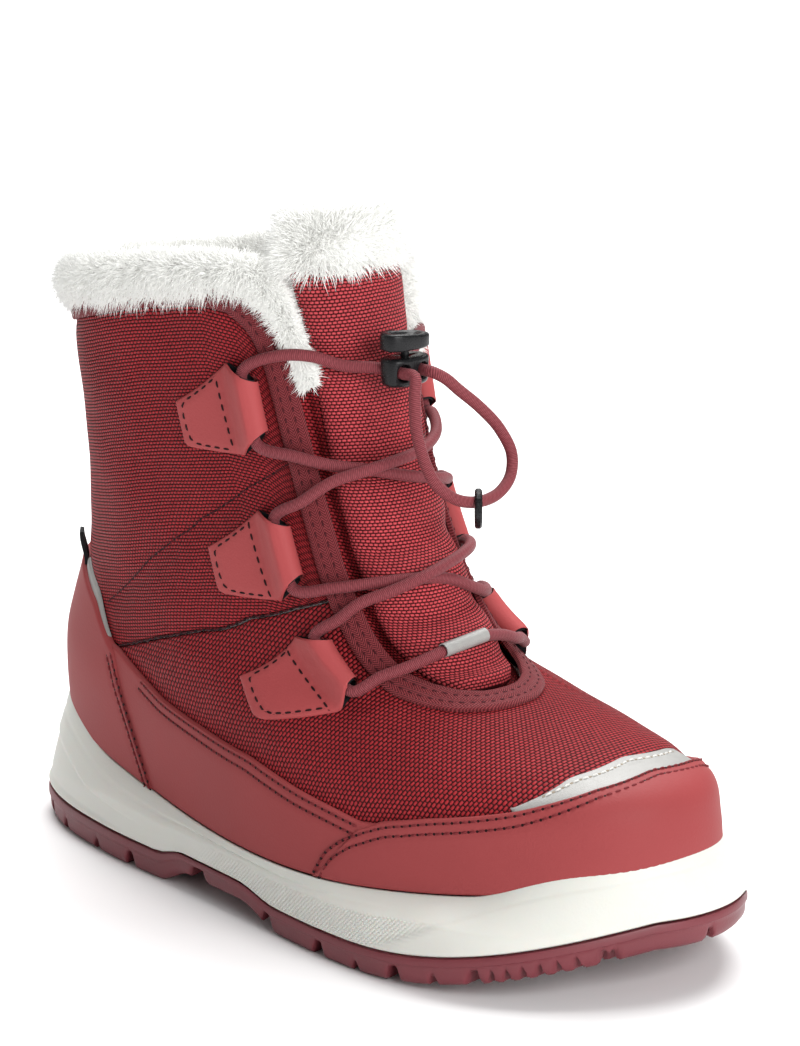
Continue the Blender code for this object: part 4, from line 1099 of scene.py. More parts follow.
def fibre_mesh(roots, directions, lengths, bend, width=0.14):
    """Tapered three-sided fibres from roots along directions, bent as they rise."""
    foot, middle, tip = (roots + lengths[:, None] * (directions * t + bend * t ** 2)
                         for t in FIBRE_STATIONS)
    helper = np.where(np.abs(directions[:, 2:3]) < 0.8, np.array([[0.0, 0.0, 1.0]]),
                      np.array([[1.0, 0.0, 0.0]]))
    side = unit(np.cross(directions, helper))
    other = np.cross(directions, side)
    turns = np.arange(3)[None, :, None] * math.tau / 3
    around = side[:, None] * np.cos(turns) + other[:, None] * np.sin(turns)
    points = np.concatenate([foot[:, None] + around * width,
                             middle[:, None] + around * width * FIBRE_TAPER, tip[:, None]], axis=1)
    base = np.arange(len(roots))[:, None] * 7
    faces = [(base + face).tolist() for face in ((0, 1, 4, 3), (1, 2, 5, 4), (2, 0, 3, 5), (3, 4, 6),
                                                 (4, 5, 6), (5, 3, 6), (2, 1, 0))]
    return points.reshape(-1, 3), sum(faces, [])


def clump_field(points, random):
    """A smooth random lean over space, so that neighbouring fibres lie alike."""
    waves = random.normal(0, 1, (10, 3)) / CLUMP_SPACING
    shifts = random.uniform(0, math.tau, (10, 3))
    field = np.zeros_like(points)
    for k in range(3):
        field[:, k] = np.sin(points @ waves.T + shifts[:, k]).sum(1) / math.sqrt(5)
    return field * CLUMP_LEAN


def lean_fibres(random, roots, lean, shortest, more, sag, wander):
    """Directions, lengths and bends of fibres, each a little off its neighbours' lean."""
    shape = roots.shape
    direction = unit(lean + clump_field(roots, random) + random.normal(0, 0.3, shape))
    lengths = shortest + more * random.random(len(roots))
    return direction, lengths, np.array([0.0, 0.0, -sag]) + random.normal(0, wander, shape)


COLLAR_FIBRES, TONGUE_FIBRES = 60000, 18500
CLUMP_SPACING, CLUMP_LEAN = 2.2, 0.2
# Half-widths of the collar's core and of the ring its fibres start on, and how deep both lie.
CORE_HALF, ROOT_HALF, PILE_SINK = (4.6, 3.6), (4.2, 3.2), 1.0
# Shortest fibre, how much longer others are, how far their tips sag and how far they stray.
COLLAR_LENGTHS, TONGUE_LENGTHS = (2.2, 2.6, 0.22, 0.12), (3.2, 3.0, 0.16, 0.08)
# The pile's two ends, from the facing up to the collar: angle, level and thickness.
OUTER_TAIL = [(-31.8, 0.872, 0.3), (-32.6, 0.90, 0.4), (-35.8, 0.94, 0.42), (-41.0, 0.99, 0.62),
              (-49, 1.022, 0.8)]
INNER_TAIL = [(-314, 1.02, 1.1), (-317, 0.99, 1.15), (-319, 0.96, 1.1), (-321, 0.925, 0.9),
              (-322, 0.89, 0.6)]


def collar_path():
    """The pile ring's middle as (phi, level, scale)."""
    height = edge(((0, 1.026), (75, 1.026), (95, 1.024), (112, 1.032), (180, 1.062)))
    phi = np.linspace(-60, -302, 15)
    inside = ease((-185 - phi) / 40) * ease((300 + phi) / 30)
    thick = 0.84 + 0.16 * ease((-60 - phi) / 30)
    around = np.column_stack([phi, height(phi) - 0.028 * inside, thick])
    return smooth_path(np.concatenate([OUTER_TAIL, around, INNER_TAIL]), 500)


def make_collar_pile():
    """The pile collar: a soft core, and fibres that flow over and down from it."""
    path = collar_path()
    scale = path[:, 2]
    point, normal, _, _ = surface_frame(path[:, 0], path[:, 1])
    side = unit(np.cross(normal, np.gradient(point, axis=0)))
    turns = np.linspace(0, math.tau, 24, endpoint=False)
    wide, thick = CORE_HALF
    rings = [[point[i] + (side[i] * wide * math.cos(a) + normal[i] * (thick * math.sin(a) - PILE_SINK))
              * max(scale[i], 0.1) for a in turns] for i in range(0, len(path), 4)]
    core = add_mesh("collar_pile_core", *loft(rings), FLEECE_LOOK, "pile", nodes=["collar_fur"])

    random = np.random.default_rng(7)
    at = run_length(point)
    pick = np.interp(random.uniform(0, at[-1], COLLAR_FIBRES), at, np.arange(len(path)))
    i = np.clip(pick.astype(int), 0, len(path) - 2)
    part = (pick - i)[:, None]
    here, out, across, size = (values[i] * (1 - part) + values[i + 1] * part
                               for values in (point, normal, side, scale[:, None]))
    angle = random.uniform(0, math.tau, COLLAR_FIBRES)
    cos, sin = np.cos(angle)[:, None], np.sin(angle)[:, None]
    roots = here + size * (across * ROOT_HALF[0] * cos + out * (ROOT_HALF[1] * sin - PILE_SINK))
    flow = np.array([0.0, 0.0, -1.0]) * (0.05 + 0.2 * np.clip(sin, -0.3, 1))
    direction, lengths, bend = lean_fibres(random, roots, across * cos + out * sin + flow,
                                           *COLLAR_LENGTHS)
    lengths *= 0.6 + 0.4 * size[:, 0]
    quarter = np.clip((4 * pick / len(path)).astype(int), 0, 3)
    for number in range(4):
        mesh = fibre_mesh(*(values[quarter == number] for values in (roots, direction, lengths, bend)))
        add_mesh(f"collar_pile_{number + 1}", *mesh, PILE_LOOK, "pile", crease=180)


def make_tongue_pile():
    """The pile on top of the tongue."""
    levels, halves = np.array(TONGUE_HALF, float).T
    foot, tip = 1.035, levels[-1]
    rows = np.linspace(foot, tip, 12)
    share = np.linspace(-1, 1, 25)
    phi = np.interp(rows, levels, halves)[:, None] * share
    level = rows[:, None] + 0 * phi
    round_off = np.sqrt(np.clip(1 - np.abs(share) ** 4 * 0.9, 0, 1)) + 0 * phi
    top = np.sqrt(np.clip(1 - ((rows - foot) / (tip - foot)) ** 6 * 0.9, 0, 1))[:, None]
    skins = [surface(phi, level, -3.0 + (offset + 3.0) * round_off * top) for offset in (-7.6, 3.0)]
    core = add_sheet("tongue_pile_core", skins, FLEECE_LOOK, "pile", "tongue",
                     nodes=["tongue_fur"])

    random = np.random.default_rng(11)
    a = random.uniform(0, math.tau, TONGUE_FIBRES)
    s = random.uniform(-1, 1, TONGUE_FIBRES)
    level = 1.03 + (tip + 0.02 - 1.03) * random.random(TONGUE_FIBRES)
    half = np.interp(level, levels, halves)
    point, normal, around, _ = surface_frame(half * s * 1.08, level)
    around = unit(around)
    roots = point + normal * (-3.0 + 4.6 * np.sin(a))[:, None]
    out = normal * np.sin(a)[:, None] + around * (s ** 3)[:, None] * 1.6
    up = np.clip((level - 1.05) / 0.04, 0, 1)[:, None]
    flow = np.array([0.0, 0.0, 1.0]) * (up * 1.6 - 0.4)
    mesh = fibre_mesh(roots, *lean_fibres(random, roots, out + flow, *TONGUE_LENGTHS))
    add_mesh("tongue_pile", *mesh, PILE_LOOK, "pile", "tongue", crease=180)


# ---------------------------------------------------------------- sole

def sole_outline(grow, steps=10):
    """The smooth outline, grown outwards."""
    knots, points = SOLE_OUTLINE, []
    count = len(knots)
    for i in range(count):
        a, b, c, d = (knots[(i + k) % count] for k in (-1, 0, 1, 2))
        for step in range(steps):
            t = step / steps
            points.append(0.5 * (2 * b + (c - a) * t + (2 * a - 5 * b + 4 * c - d) * t**2
                                 + (3 * b - a - 3 * c + d) * t**3))
    points = np.array(points)
    along = unit(np.roll(points, -1, 0) - np.roll(points, 1, 0))
    return points + np.column_stack([along[:, 1], -along[:, 0]]) * np.asarray(grow)[..., None]


def spring(x):
    """Rise of the toe above the ground."""
    return TOE_SPRING * np.clip(((x - HEEL_X) / SOLE_LENGTH - 0.7) / 0.3, 0, 1) ** 2


def rim_lift(x):
    """How far the midsole's rim climbs over the toe and the heel."""
    return 3.9 * ease((x - 72) / 22) + 3.0 * ease((-62 - x) / 28)


def waist(x):
    """1 under the arch and 0 under the heel and the ball."""
    return ease((x + 34) / 12) * ease((16 - x) / 16)


def midsole_bottom(x):
    """Height where the midsole meets the tread."""
    heel, ball = 7.8, 6.8
    return heel + (ball - heel) * np.clip((x - HEEL_X) / 120, 0, 1) + spring(x) + 2.5 * waist(x)


def tread_bottom(x):
    """Height of the tread's underside before its grooves."""
    return spring(x) + WAIST_LIFT * waist(x)


LIP = 0.80                # height share where the flat upper band starts
HEEL_RIDGE = ((-110, 0.60), (-85, 0.56), (-65, 0.52), (-45, 0.46))
TOE_FACET = ((50, 0.02), (60, 0.35), (70, 0.66), (78, 0.76), (110, 0.78))


def midsole_out(x, t):
    """How far the midsole's wall stands out from the sole's outline at a share of its height."""
    out = 2.7 - 0.3 * t
    out = out - 0.5 * np.exp(-((t - LIP) / 0.03) ** 2) * ease((60 - x) / 20)
    ridge = read(HEEL_RIDGE, x)
    out = out - ease((-38 - x) / 30) * 0.8 * ease((ridge - t + 0.03) / 0.06) * ease((t - 0.05) / 0.1)
    facet = read(TOE_FACET, x)
    out = out + ease((x - 48) / 8) * 0.5 * (ease((facet - t + 0.03) / 0.05) - 1)
    return out - 1.0 * ease((0.05 - t) / 0.05)


def rim_ring(offset, lift):
    """The upper's lowest edge at each point of the sole's outline, moved outwards and upwards."""
    phi = np.linspace(-180, 180, 1441)[:-1]
    ring = surface(phi, 0 * phi)
    base = sole_outline(0.0)
    nearest = np.linalg.norm(ring[None, :, :2] - base[:, None], axis=2).argmin(axis=1)
    smooth = np.unwrap(np.radians(phi[nearest]))
    lap = math.copysign(math.tau, smooth[-1] - smooth[0])
    for _ in range(3):
        padded = np.concatenate([smooth[-1:] - lap, smooth, smooth[:1] + lap])
        smooth = (padded[:-2] + 2 * padded[1:-1] + padded[2:]) / 4
    chosen = np.degrees(smooth)
    point, normal, _, _ = surface_frame(chosen, rim_lift(base[:, 0]) / 128)
    normal[:, 2] = 0
    moved = point + unit(normal) * offset
    moved[:, 2] += lift
    return moved


# The midsole's inner rows, as steps out and up from its rim, and the tread's wall, as the growth
# of its outline at shares of its height.
RIM_ROWS = ((1.25, 0.55), (0.3, 0.1), (-0.4, -0.5))
TREAD_WALL = ((2.5, 1.0), (2.75, 0.9), (2.75, 0.74), (2.45, 0.70), (2.35, 0.55), (2.3, 0.40),
              (2.2, 0.28), (2.0, 0.18), (1.6, 0.08), (1.0, 0.0))
TREAD_COLUMNS = 72


def make_midsole():
    """The foam midsole: a flared wall with a lip, a heel ridge and a toe facet, and a bed."""
    base = sole_outline(0.0)
    x = base[:, 0]
    rim = rim_ring(1.75, 0.5)
    low, high = midsole_bottom(x), rim[:, 2]
    shares_up = np.concatenate([np.linspace(0, 0.08, 5)[:-1], np.linspace(0.08, 0.9, 44),
                                np.linspace(0.9, 1, 12)[1:]])
    reach = 0.34 + 0.5 * np.maximum(ease((-52 - x) / 35), ease((x - 62) / 30))
    rings, cloth, knurl = [], [], []
    at = run_length(np.vstack([base, base[:1]]))[:-1]
    for t in shares_up:
        flat = sole_outline(midsole_out(x, t))
        share = np.clip((1 - t) / reach, 0, 1)
        share = (1 - (1 - share) ** 1.2)[:, None]
        flat = rim[:, :2] + (flat - rim[:, :2]) * share
        height = low + (high - low) * t
        rings.append(np.column_stack([flat, height]))
        cloth.append(np.column_stack([at, height, 0 * at]))
        side = ease((x + 20) / 20) * ease((72 - x) / 20) * ease((0.72 - t) / 0.08) * ease(t / 0.1)
        knurl.append(side * ease((t - read(TOE_FACET, x)) / 0.04))
    for offset, lift in RIM_ROWS:
        rings.append(rim_ring(offset, lift))
        cloth.append(np.column_stack([at, high, 0 * at]))
        knurl.append(0 * at)
    points, faces = loft(rings, capped=False)
    count = len(base)
    half = count // 2
    for start in (0, len(points) - count):
        faces.append((start, start + 1, start + count - 1))
        faces += [(start + i, start + i + 1, start + count - i - 1, start + count - i)
                  for i in range(1, half - 1)]
        faces.append((start + half - 1, start + half, start + half + 1))
    piece = add_mesh("midsole_body", points, faces, FOAM_LOOK, "midsole_foam", nodes=["midsole"],
                     cloth=np.concatenate(cloth), crease=50)
    layer = piece.data.attributes.new("knurl", "FLOAT", "POINT")
    layer.data.foreach_set("value", np.concatenate(knurl).astype(np.float32))


# Grooves across the tread: x on the outer side, width, depth.
GROOVES = ((-86, 2.2, 3.4), (-76, 2.0, 2.4), (-60, 2.0, 2.4), (-45, 3.2, 3.6), (-17, 6.0, 3.2),
           (11, 4.0, 3.4), (31, 3.6, 3.4), (44, 1.8, 2.0), (56, 3.6, 3.4), (67, 1.8, 2.0),
           (77, 3.0, 3.2), (81.0, 1.3, 2.6), (84.2, 1.3, 2.6), (87.4, 1.3, 2.6), (90.6, 1.3, 2.6),
           (93.8, 1.3, 2.6), (97.0, 1.3, 2.6), (101.0, 2.0, 3.0))


def tread_cut(x, y):
    """Depth of the tread's pattern at a point under the sole."""
    bent = x - 4.0 * (np.abs(y / 36.0) ** 1.5 - 1.0)
    cut = np.zeros_like(x)
    for place, width, depth in GROOVES:
        share = np.abs(bent - place) / (width / 2)
        cut = np.maximum(cut, depth * (1 - ease((share - 0.55) / 0.7)))
    for lane in (-11.0, 12.0):
        lane_y = lane + 3.0 * np.sin(x * 0.045)
        share = np.abs(y - lane_y) / 1.3
        cut = np.maximum(cut, 2.6 * (1 - ease((share - 0.5) / 0.7)))
    return cut


def make_outsole():
    """The rubber tread: a wall round it, and lugs parted by grooves underneath."""
    base = sole_outline(0.0, FINE)
    count = len(base)
    half = count // 2
    x = base[:, 0]
    rings = []
    for grow, share in TREAD_WALL:
        flat = sole_outline(grow, FINE)
        top = midsole_bottom(x) - 0.3
        bottom = tread_bottom(x) + tread_cut(flat[:, 0], flat[:, 1]) * ease((0.75 - share) / 0.3)
        rings.append(np.column_stack([flat, bottom + (top - bottom) * share]))
    points, faces = loft(rings, capped=False)
    left, right = rings[-1][1:half, :2], rings[-1][-1:half:-1, :2]
    columns = TREAD_COLUMNS
    across = np.linspace(0, 1, columns + 1)[1:-1, None]
    flat = left[:, None] * (1 - across) + right[:, None] * across
    height = tread_bottom(flat[..., 0]) + tread_cut(flat[..., 0], flat[..., 1])
    rim_start, inner_start = (len(rings) - 1) * count, len(points)

    def corner(row, col):
        """The point at a row and a column under the sole; the first and last are on the rim."""
        if col == 0:
            return rim_start + row + 1
        if col == columns:
            return rim_start + count - 1 - row
        return inner_start + row * (columns - 1) + col - 1

    last = len(left) - 1
    for row in range(last):
        for col in range(columns):
            faces.append((corner(row, col), corner(row, col + 1), corner(row + 1, col + 1),
                          corner(row + 1, col)))
    faces.append(tuple([rim_start] + [corner(0, col) for col in range(columns + 1)]))
    faces.append(tuple([rim_start + half] + [corner(last, col) for col in range(columns, -1, -1)]))
    faces.append(tuple(range(count)))
    points = np.concatenate([points, np.concatenate([flat, height[..., None]], -1).reshape(-1, 3)])
    add_mesh("tread", points, faces, RUBBER_LOOK, "tread_rubber", nodes=["outsole"], crease=45)


# ---------------------------------------------------------------- lace loops

def loop_map(phi, level):
    """A map from a loop's flat outline to the boot: back, down and outwards in millimetres."""
    _, _, around, upward = surface_frame(phi, level)
    down = -upward / np.linalg.norm(upward)
    back = around * (1.0 if phi > 0 else -1.0)
    back -= down * float(back @ down)
    back /= np.linalg.norm(back)
    inverse = np.linalg.pinv(np.column_stack([around, upward]))

    def place(backwards, downwards, outwards):
        backwards, downwards, outwards = np.broadcast_arrays(backwards, downwards, outwards)
        step = (np.multiply.outer(backwards, back) + np.multiply.outer(downwards, down)) @ inverse.T
        return surface(phi + step[..., 0], level + step[..., 1], outwards)

    return place


def make_loops():
    """Three folded lace loops on each side, each sewn down on a black lining."""
    runs = []
    for side, sign in SIDES:
        for number, (phi, level) in enumerate(LOOPS, 1):
            name = f"lace_loop_{side}_{number}"
            place = loop_map(sign * phi, level)
            make_loop(name, place)
            for line in (LOOP_STITCHES, LOOP_FRONT_STITCHES):
                line = np.array(line)
                at = run_length(line)
                back, down = along_line(np.linspace(0, 1, 160), at / at[-1], line).T
                height = loop_height(back, down)
                points = place(back, down, height - 0.1)
                runs.append((points, unit(place(back, down, height + 0.9) - points)))
    add_stitches("loop_stitches", runs, LOOP_THREAD_LOOK, "coated_overlay", length=1.9, gap=0.9,
                 radius=0.26)


def loop_height(back, down):
    """Height of a loop's outer face above the surface, behind its tube."""
    rim = np.minimum(down - read(LOOP_TOP, back), read(LOOP_BOTTOM, back) - down)
    dome = 0.35 * ease(np.minimum(rim, LOOP_BACK - back) / 3.0)
    seat = LOOP_BASE + 1.15
    tube = LOOP_BASE + 2 * (LOOP_TUBE_R + LOOP_SKIN)
    return seat + dome + (tube - seat) * (1 - ease((back - 2.7) / 6.4))


def make_loop(name, place):
    """One loop: a patch whose front is folded into a tube round the cord."""
    middle, wall = LOOP_TUBE_R + LOOP_SKIN, LOOP_TUBE_R + LOOP_SKIN + 0.1
    turns = np.linspace(math.pi, 0, 15)
    backs = LOOP_BACK - (LOOP_BACK - 3.0) * shares(LOOP_BACK - 3.0, 26)[:, 0]
    across = shares(LOOP_WIDTH, 22)[:, 0]
    soft = rounded(np.minimum(across, 1 - across) * LOOP_WIDTH, LOOP_EDGE)

    def strip(back):
        """Places across the loop, from its top edge to its bottom edge."""
        top, bottom = read(LOOP_TOP, back), read(LOOP_BOTTOM, back)
        return back + 0 * across, top + (bottom - top) * across

    shell = []
    for back in backs:
        a, b = strip(back)
        thick = 0.9 * np.maximum(soft * max(rounded(LOOP_BACK - back, LOOP_EDGE), 0.05), 0.05)
        shell.append(place(a, b, loop_height(a, b) - 0.9 + thick))
    for turn in turns[1:]:
        out = LOOP_BASE + middle - wall * math.cos(turn)
        shell.append(place(*strip(middle - wall * math.sin(turn)), out - 0.15 * (1 - soft)))
    for back in np.linspace(3.2, LOOP_BACK, 16):
        shell.append(place(*strip(back), LOOP_BASE))
    bore = [(7.2, LOOP_BASE + 1.2)]
    bore += [(middle - LOOP_TUBE_R * math.sin(turn), LOOP_BASE + middle - LOOP_TUBE_R * math.cos(turn))
             for turn in turns]
    bore.append((7.2, LOOP_BASE + 1.0))
    skins = [np.array(rows).transpose(1, 0, 2)
             for rows in (shell, [place(*strip(back), out) for back, out in bore])]
    count, size = skins[0].shape[:2]
    faces = grid_faces(count, size, 0, True)
    faces += grid_faces(count, skins[1].shape[1], count * size, True)
    piece = add_mesh(name + "_leather", np.concatenate([skin.reshape(-1, 3) for skin in skins]),
                     faces, LOOP_LOOK, "coated_overlay", nodes=[name], crease=60)
    piece.data.materials.append(TAG_LOOK)
    slots = np.zeros(len(piece.data.polygons), np.int32)
    slots[(count - 1) * size:] = 1
    piece.data.polygons.foreach_set("material_index", slots)


# ---------------------------------------------------------------- cords

def through_loop(side, number, downwards=True):
    """The cord's middle where it runs through a loop; side is -1 outside and 1 inside."""
    phi, level = LOOPS[number - 1]
    place = loop_map(side * phi, level)
    middle = LOOP_TUBE_R + LOOP_SKIN
    steps = LOOP_RUN if downwards else LOOP_RUN[::-1]
    return [tuple(place(middle, step, LOOP_BASE + middle)) for step in steps]


def strand(run, crossing=None, rise=CROSSING, flip=1):
    """The cord's middle along (angle, level) points, raised where it crosses over another."""
    phi, level = np.array(run).T
    lift = 0 if crossing is None else rise * np.maximum(0, 1 - np.abs(phi - crossing) / 50)
    return surface(flip * phi, level, CORD_HEIGHT + lift + 0 * phi).tolist()


def lacing_strands():
    """The lacing from the lock's outer bore to its inner one, split at each lace loop."""
    start, end = (LOCK + OUTER_ENTRY).tolist(), (LOCK + INNER_ENTRY).tolist()
    stops = [through_loop(-1, 1), through_loop(1, 2), through_loop(-1, 3), through_loop(1, 3, False),
             through_loop(-1, 2, False), through_loop(1, 1, False)]
    runs = [strand(UPPER_FALL), strand(LOWER_RISE[::-1], LOWER_CROSSING),
            strand(LOWEST_RUN, 0, SLEEVE_RISE), strand(LOWER_FALL[::-1]),
            strand(UPPER_RISE, UPPER_CROSSING)]
    route = start + strand(TOP_RUN) + stops[0]
    for run, stop in zip(runs, stops[1:]):
        route += run + stop
    return route + strand(TOP_RUN[::-1], flip=-1) + end


def tube(line, radius, sides=16):
    """Rings round a line of points, and the cloth coordinates along and around them."""
    line = np.asarray(line)
    tangent = unit(np.gradient(line, axis=0))
    side = np.cross(tangent[0], (0.0, 0.0, 1.0))
    at = run_length(line)
    turns = np.arange(sides) * math.tau / sides
    wrap = np.minimum(turns, math.tau - turns)
    cos, sin = np.cos(turns), np.sin(turns)
    rings, cloth = [], []
    for i in range(len(line)):
        side = side - tangent[i] * (side @ tangent[i])
        side /= np.linalg.norm(side)
        other = np.cross(tangent[i], side)
        rings.append(line[i] + radius * (np.outer(cos, side) + np.outer(sin, other)))
        cloth.append(np.column_stack([0 * turns + at[i], wrap, 0 * turns]))
    return np.array(rings), np.array(cloth)


def make_lacing():
    """The lacing in an outer and an inner half."""
    line = even(lacing_strands(), 1.1)
    rings, cloth = tube(line, CORD_R)
    lateral = line[:, 1] < TONGUE_MIDDLE
    cuts = np.concatenate([[0], np.flatnonzero(np.diff(lateral)) + 1, [len(line)]])
    for side, sign in SIDES:
        parts, marks = [], []
        for first, last in zip(cuts[:-1], cuts[1:]):
            if lateral[first] == (sign < 0):
                span = slice(first, min(last + 1, len(line)))
                parts.append(loft(rings[span]))
                marks.append(cloth[span].reshape(-1, 3))
        half = add_mesh(f"lacing_{side}", *joined_meshes(parts), CORD_LOOK, "cord", None,
                        nodes=["bungee_lacing"], cloth=np.concatenate(marks), crease=80)
        bend_across(half, sign)
    return line


def make_sleeve(line):
    """The short reflective sleeve where the lowest strand crosses the tongue."""
    _, level = LOWEST_RUN[3]
    middle = surface(-4.0, level, CORD_HEIGHT + SLEEVE_RISE)
    centre = int(np.linalg.norm(line - middle, axis=1).argmin())
    ends = line[centre - 6], line[centre + 6]
    along = np.linspace(0, 1, 12)[:, None]
    straight = ends[0] * (1 - along) + ends[1] * along
    straight += (line[centre] - (ends[0] + ends[1]) / 2) * 0.8
    wall, _ = tube(straight, SLEEVE_R)
    bore, _ = tube(straight, CORD_R + 0.05)
    mesh = loft(np.concatenate([wall, bore[::-1]]), joined=True)
    add_mesh("reflective_sleeve", *mesh, SILVER_LOOK, "reflective", "tongue",
             nodes=["lace_sleeve"])


def make_cords():
    """The lacing, its sleeve, and the free loop beyond the lock."""
    make_sleeve(make_lacing())
    loop = even(FREE_LOOP, 1.0)
    rings, cloth = tube(loop, CORD_R)
    free = add_mesh("free_cord_loop", *loft(rings), CORD_LOOK, "cord", "tongue",
                    nodes=["bungee_loop"], cloth=cloth.reshape(-1, 3), crease=80)
    path = (loop - DATUM) * MM
    float(run_length(path)[-1])


# ---------------------------------------------------------------- cord lock

def oval(half_x, half_y, rise, sides=48, power=0.7):
    """A rounded oblong ring at a height above the lock's middle, which may change along it."""
    a = np.arange(sides) * math.tau / sides
    x = np.sign(np.cos(a)) * np.abs(np.cos(a)) ** power * half_x
    y = np.sign(np.sin(a)) * np.abs(np.sin(a)) ** power * half_y
    return LOCK + np.column_stack([x, y, rise(y) if callable(rise) else rise + 0 * y])


def cut_bore(piece, centre, axis, stations):
    """Cut a round bore, given as (distance, radius) along an axis, out of a piece."""
    axis = np.asarray(axis, float)
    side = np.roll(axis, 1)
    turns = np.arange(BORE_SIDES) * math.tau / BORE_SIDES
    circle = np.outer(np.cos(turns), side) + np.outer(np.sin(turns), np.cross(axis, side))
    rings = [centre + axis * distance + radius * circle for distance, radius in stations]
    cutter = add_mesh("cutter", *loft(rings), PLASTIC_LOOK, "lock_plastic", None)
    change = piece.modifiers.new("bore", "BOOLEAN")
    change.operation, change.object, change.solver = "DIFFERENCE", cutter, "EXACT"
    bpy.context.view_layer.update()
    graph = bpy.context.evaluated_depsgraph_get()
    shape = bpy.data.meshes.new_from_object(piece.evaluated_get(graph))
    piece.modifiers.clear()
    piece.data = shape
    bpy.data.objects.remove(cutter)


def make_lock():
    """The lock: a rounded body with two bores, and a dished button on a short stem."""
    hx, hy, hz = LOCK_HALF
    turn = np.linspace(0, math.pi / 2, 6)
    foot = [oval(hx - 1.3 + 1.1 * math.sin(a), hy - 1.5 + 1.3 * math.sin(a),
                 -hz + 1.1 - 1.1 * math.cos(a)) for a in turn]
    head = [oval(hx - 0.9 + 0.9 * math.cos(a), hy - 0.9 + 0.9 * math.cos(a),
                 hz - 0.8 + 0.8 * math.sin(a)) for a in turn]
    body = add_mesh("lock_shell", *loft(foot + head), PLASTIC_LOOK, "lock_plastic", None,
                    nodes=["cord_lock_body"], crease=50)
    for side in (-1, 1):
        cut_bore(body, LOCK + (0, side * CORD_PITCH, 0), (1, 0, 0),
                 [(-hx - 1, BORE_R + 1.4), (-hx + 0.3, BORE_R + 0.6), (-hx + 1.0, BORE_R),
                  (hx - 1.0, BORE_R), (hx - 0.3, BORE_R + 0.4), (hx + 1, BORE_R + 1.2)])
    cut_bore(body, LOCK, (0, 0, 1), [(WELL_FLOOR, WELL_R), (hz + 1, WELL_R)])
    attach(body, "lock")

    seat = hz + BUTTON_GAP

    def crest(y, sunk=0.0):
        """Height of the button's top, which slopes along it and may be sunk."""
        return seat + BUTTON_HEIGHT - 0.6 - 1.0 * ease((y + hy) / (2 * hy)) - sunk

    rings = [oval(STEM_R, STEM_R, STEM_FOOT, power=1.0), oval(STEM_R, STEM_R, seat, power=1.0),
             oval(hx - 0.9, hy - 0.9, seat)]
    rings += [oval(hx - 0.9 + 0.9 * math.sin(a), hy - 0.7 + 0.9 * math.sin(a),
                   seat + 0.7 - 0.7 * math.cos(a)) for a in turn[1:]]
    rings += [oval(hx - 0.8 + 0.8 * math.cos(a), hy - 0.8 + 1.0 * math.cos(a),
                   lambda y, a=a: crest(y, 0.7 - 0.7 * math.sin(a))) for a in turn]
    for share in (0.9, 0.75, 0.55, 0.3, 0.08):
        dish = 1.5 * ease((1 - share) / 0.7)
        rings.append(oval((hx - 0.9) * share, (hy - 0.9) * share, lambda y, d=dish: crest(y, d)))
    add_mesh("lock_thumb_button", *loft(rings), PLASTIC_LOOK, "lock_plastic", "button",
             nodes=["lock_button"], crease=50)


def make_spring():
    """The spring under the button, drawn at rest; the real one shortens as the button is pressed."""
    low = WELL_FLOOR + 0.15 + SPRING_WIRE_R
    high = STEM_FOOT - 0.15 - SPRING_WIRE_R
    share = np.linspace(0, 1, 120)
    turn = math.tau * SPRING_TURNS * share
    line = LOCK + np.column_stack([SPRING_R * np.cos(turn), SPRING_R * np.sin(turn),
                                   low + (high - low) * share])
    rings, _ = tube(line, SPRING_WIRE_R, 8)
    spring = add_mesh("button_spring", *loft(rings), STEEL_LOOK, "spring_steel", "lock",
                      nodes=["lock_spring"])
    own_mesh(spring)


def dress_frame():
    """Materials for the CAD nodes that keep their own shape."""
    looks = {"strobel_board": BOARD_LOOK, "footbed": FLEECE_LOOK, "heel_stiffener": BOARD_LOOK,
             "toe_puff": BOARD_LOOK, "pull_ring": PLASTIC_LOOK}
    for node, look in looks.items():
        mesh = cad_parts[node].data
        mesh.materials.clear()
        mesh.materials.append(look)


# ---------------------------------------------------------------- stage

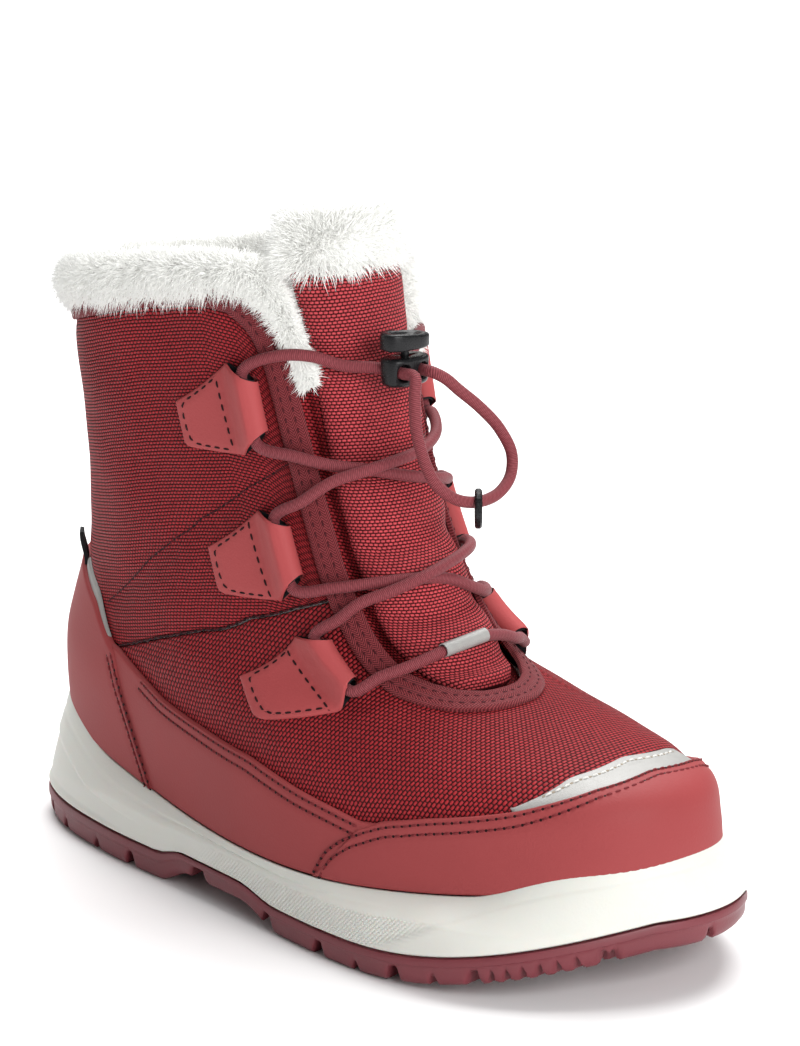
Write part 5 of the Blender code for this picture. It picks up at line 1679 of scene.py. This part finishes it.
FLOOR_HALF = 6.0          # metres, as are all the places in this section
LIGHTS = (("overhead", (-0.6, 0.7, 1.9), 1.9, 78.0), ("key", (1.15, -0.2, 0.55), 0.8, 14.0))
LIGHT_TARGET, ROOM_LIGHT = Vector((0, 0, 0.08)), 0.28
CAMERA_TURN, CAMERA_RISE, CAMERA_DISTANCE = math.radians(47), math.radians(15), 1.0
CAMERA_TARGET, LENS = Vector((0.01203, -0.0014, 0.09264)), 146.2


def make_floor():
    """A pale floor."""
    mesh = bpy.data.meshes.new("floor")
    h = FLOOR_HALF
    mesh.from_pydata([(-h, -h, 0), (h, -h, 0), (h, h, 0), (-h, h, 0)], [], [(0, 1, 2, 3)])
    mesh.materials.append(Look("floor", (0.93, 0.93, 0.93), 0.9).material)
    floor = new_object("floor", mesh)
    floor.location.z = -0.0002
    floor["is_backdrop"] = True


def make_lights():
    """A soft lamp over the boot, a small one at its toe, and the room's own light."""
    world = bpy.data.worlds.new("studio")
    world.use_nodes = True
    background = world.node_tree.nodes["Background"].inputs
    background["Color"].default_value = (1, 1, 1, 1)
    background["Strength"].default_value = ROOM_LIGHT
    scene.world = world
    scene.view_settings.view_transform = "Standard"
    scene.view_settings.look = "None"
    for name, place, size, power in LIGHTS:
        light = bpy.data.lights.new(name, "AREA")
        light.energy = power
        light.size = size
        lamp = new_object(name, light)
        lamp.location = place
        lamp.rotation_euler = (LIGHT_TARGET - Vector(place)).to_track_quat("-Z", "Y").to_euler()


def make_camera():
    """The camera, looking down on the boot's outer side and toe."""
    away = Vector((math.sin(CAMERA_TURN) * math.cos(CAMERA_RISE),
                   -math.cos(CAMERA_TURN) * math.cos(CAMERA_RISE), math.sin(CAMERA_RISE)))
    lens = bpy.data.cameras.new("camera")
    lens.lens = LENS
    lens.sensor_width = 36
    camera = new_object("camera", lens)
    camera.location = CAMERA_TARGET + away * CAMERA_DISTANCE
    camera.rotation_euler = (-away).to_track_quat("-Z", "Y").to_euler()
    scene.camera = camera


make_floor()
make_lights()
make_camera()
make_cords()
make_textile()
make_linings()
make_overlays()
make_reflectives()
make_quilting()
make_tapes()
make_tongue()
make_collar_pile()
make_tongue_pile()
make_midsole()
make_outsole()
make_loops()
make_lock()
make_spring()
dress_frame()

boxes = {"cad": cad_bounds, "visual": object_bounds()}
{k: [[float(c) for c in corner] for corner in v] for k, v in boxes.items()}
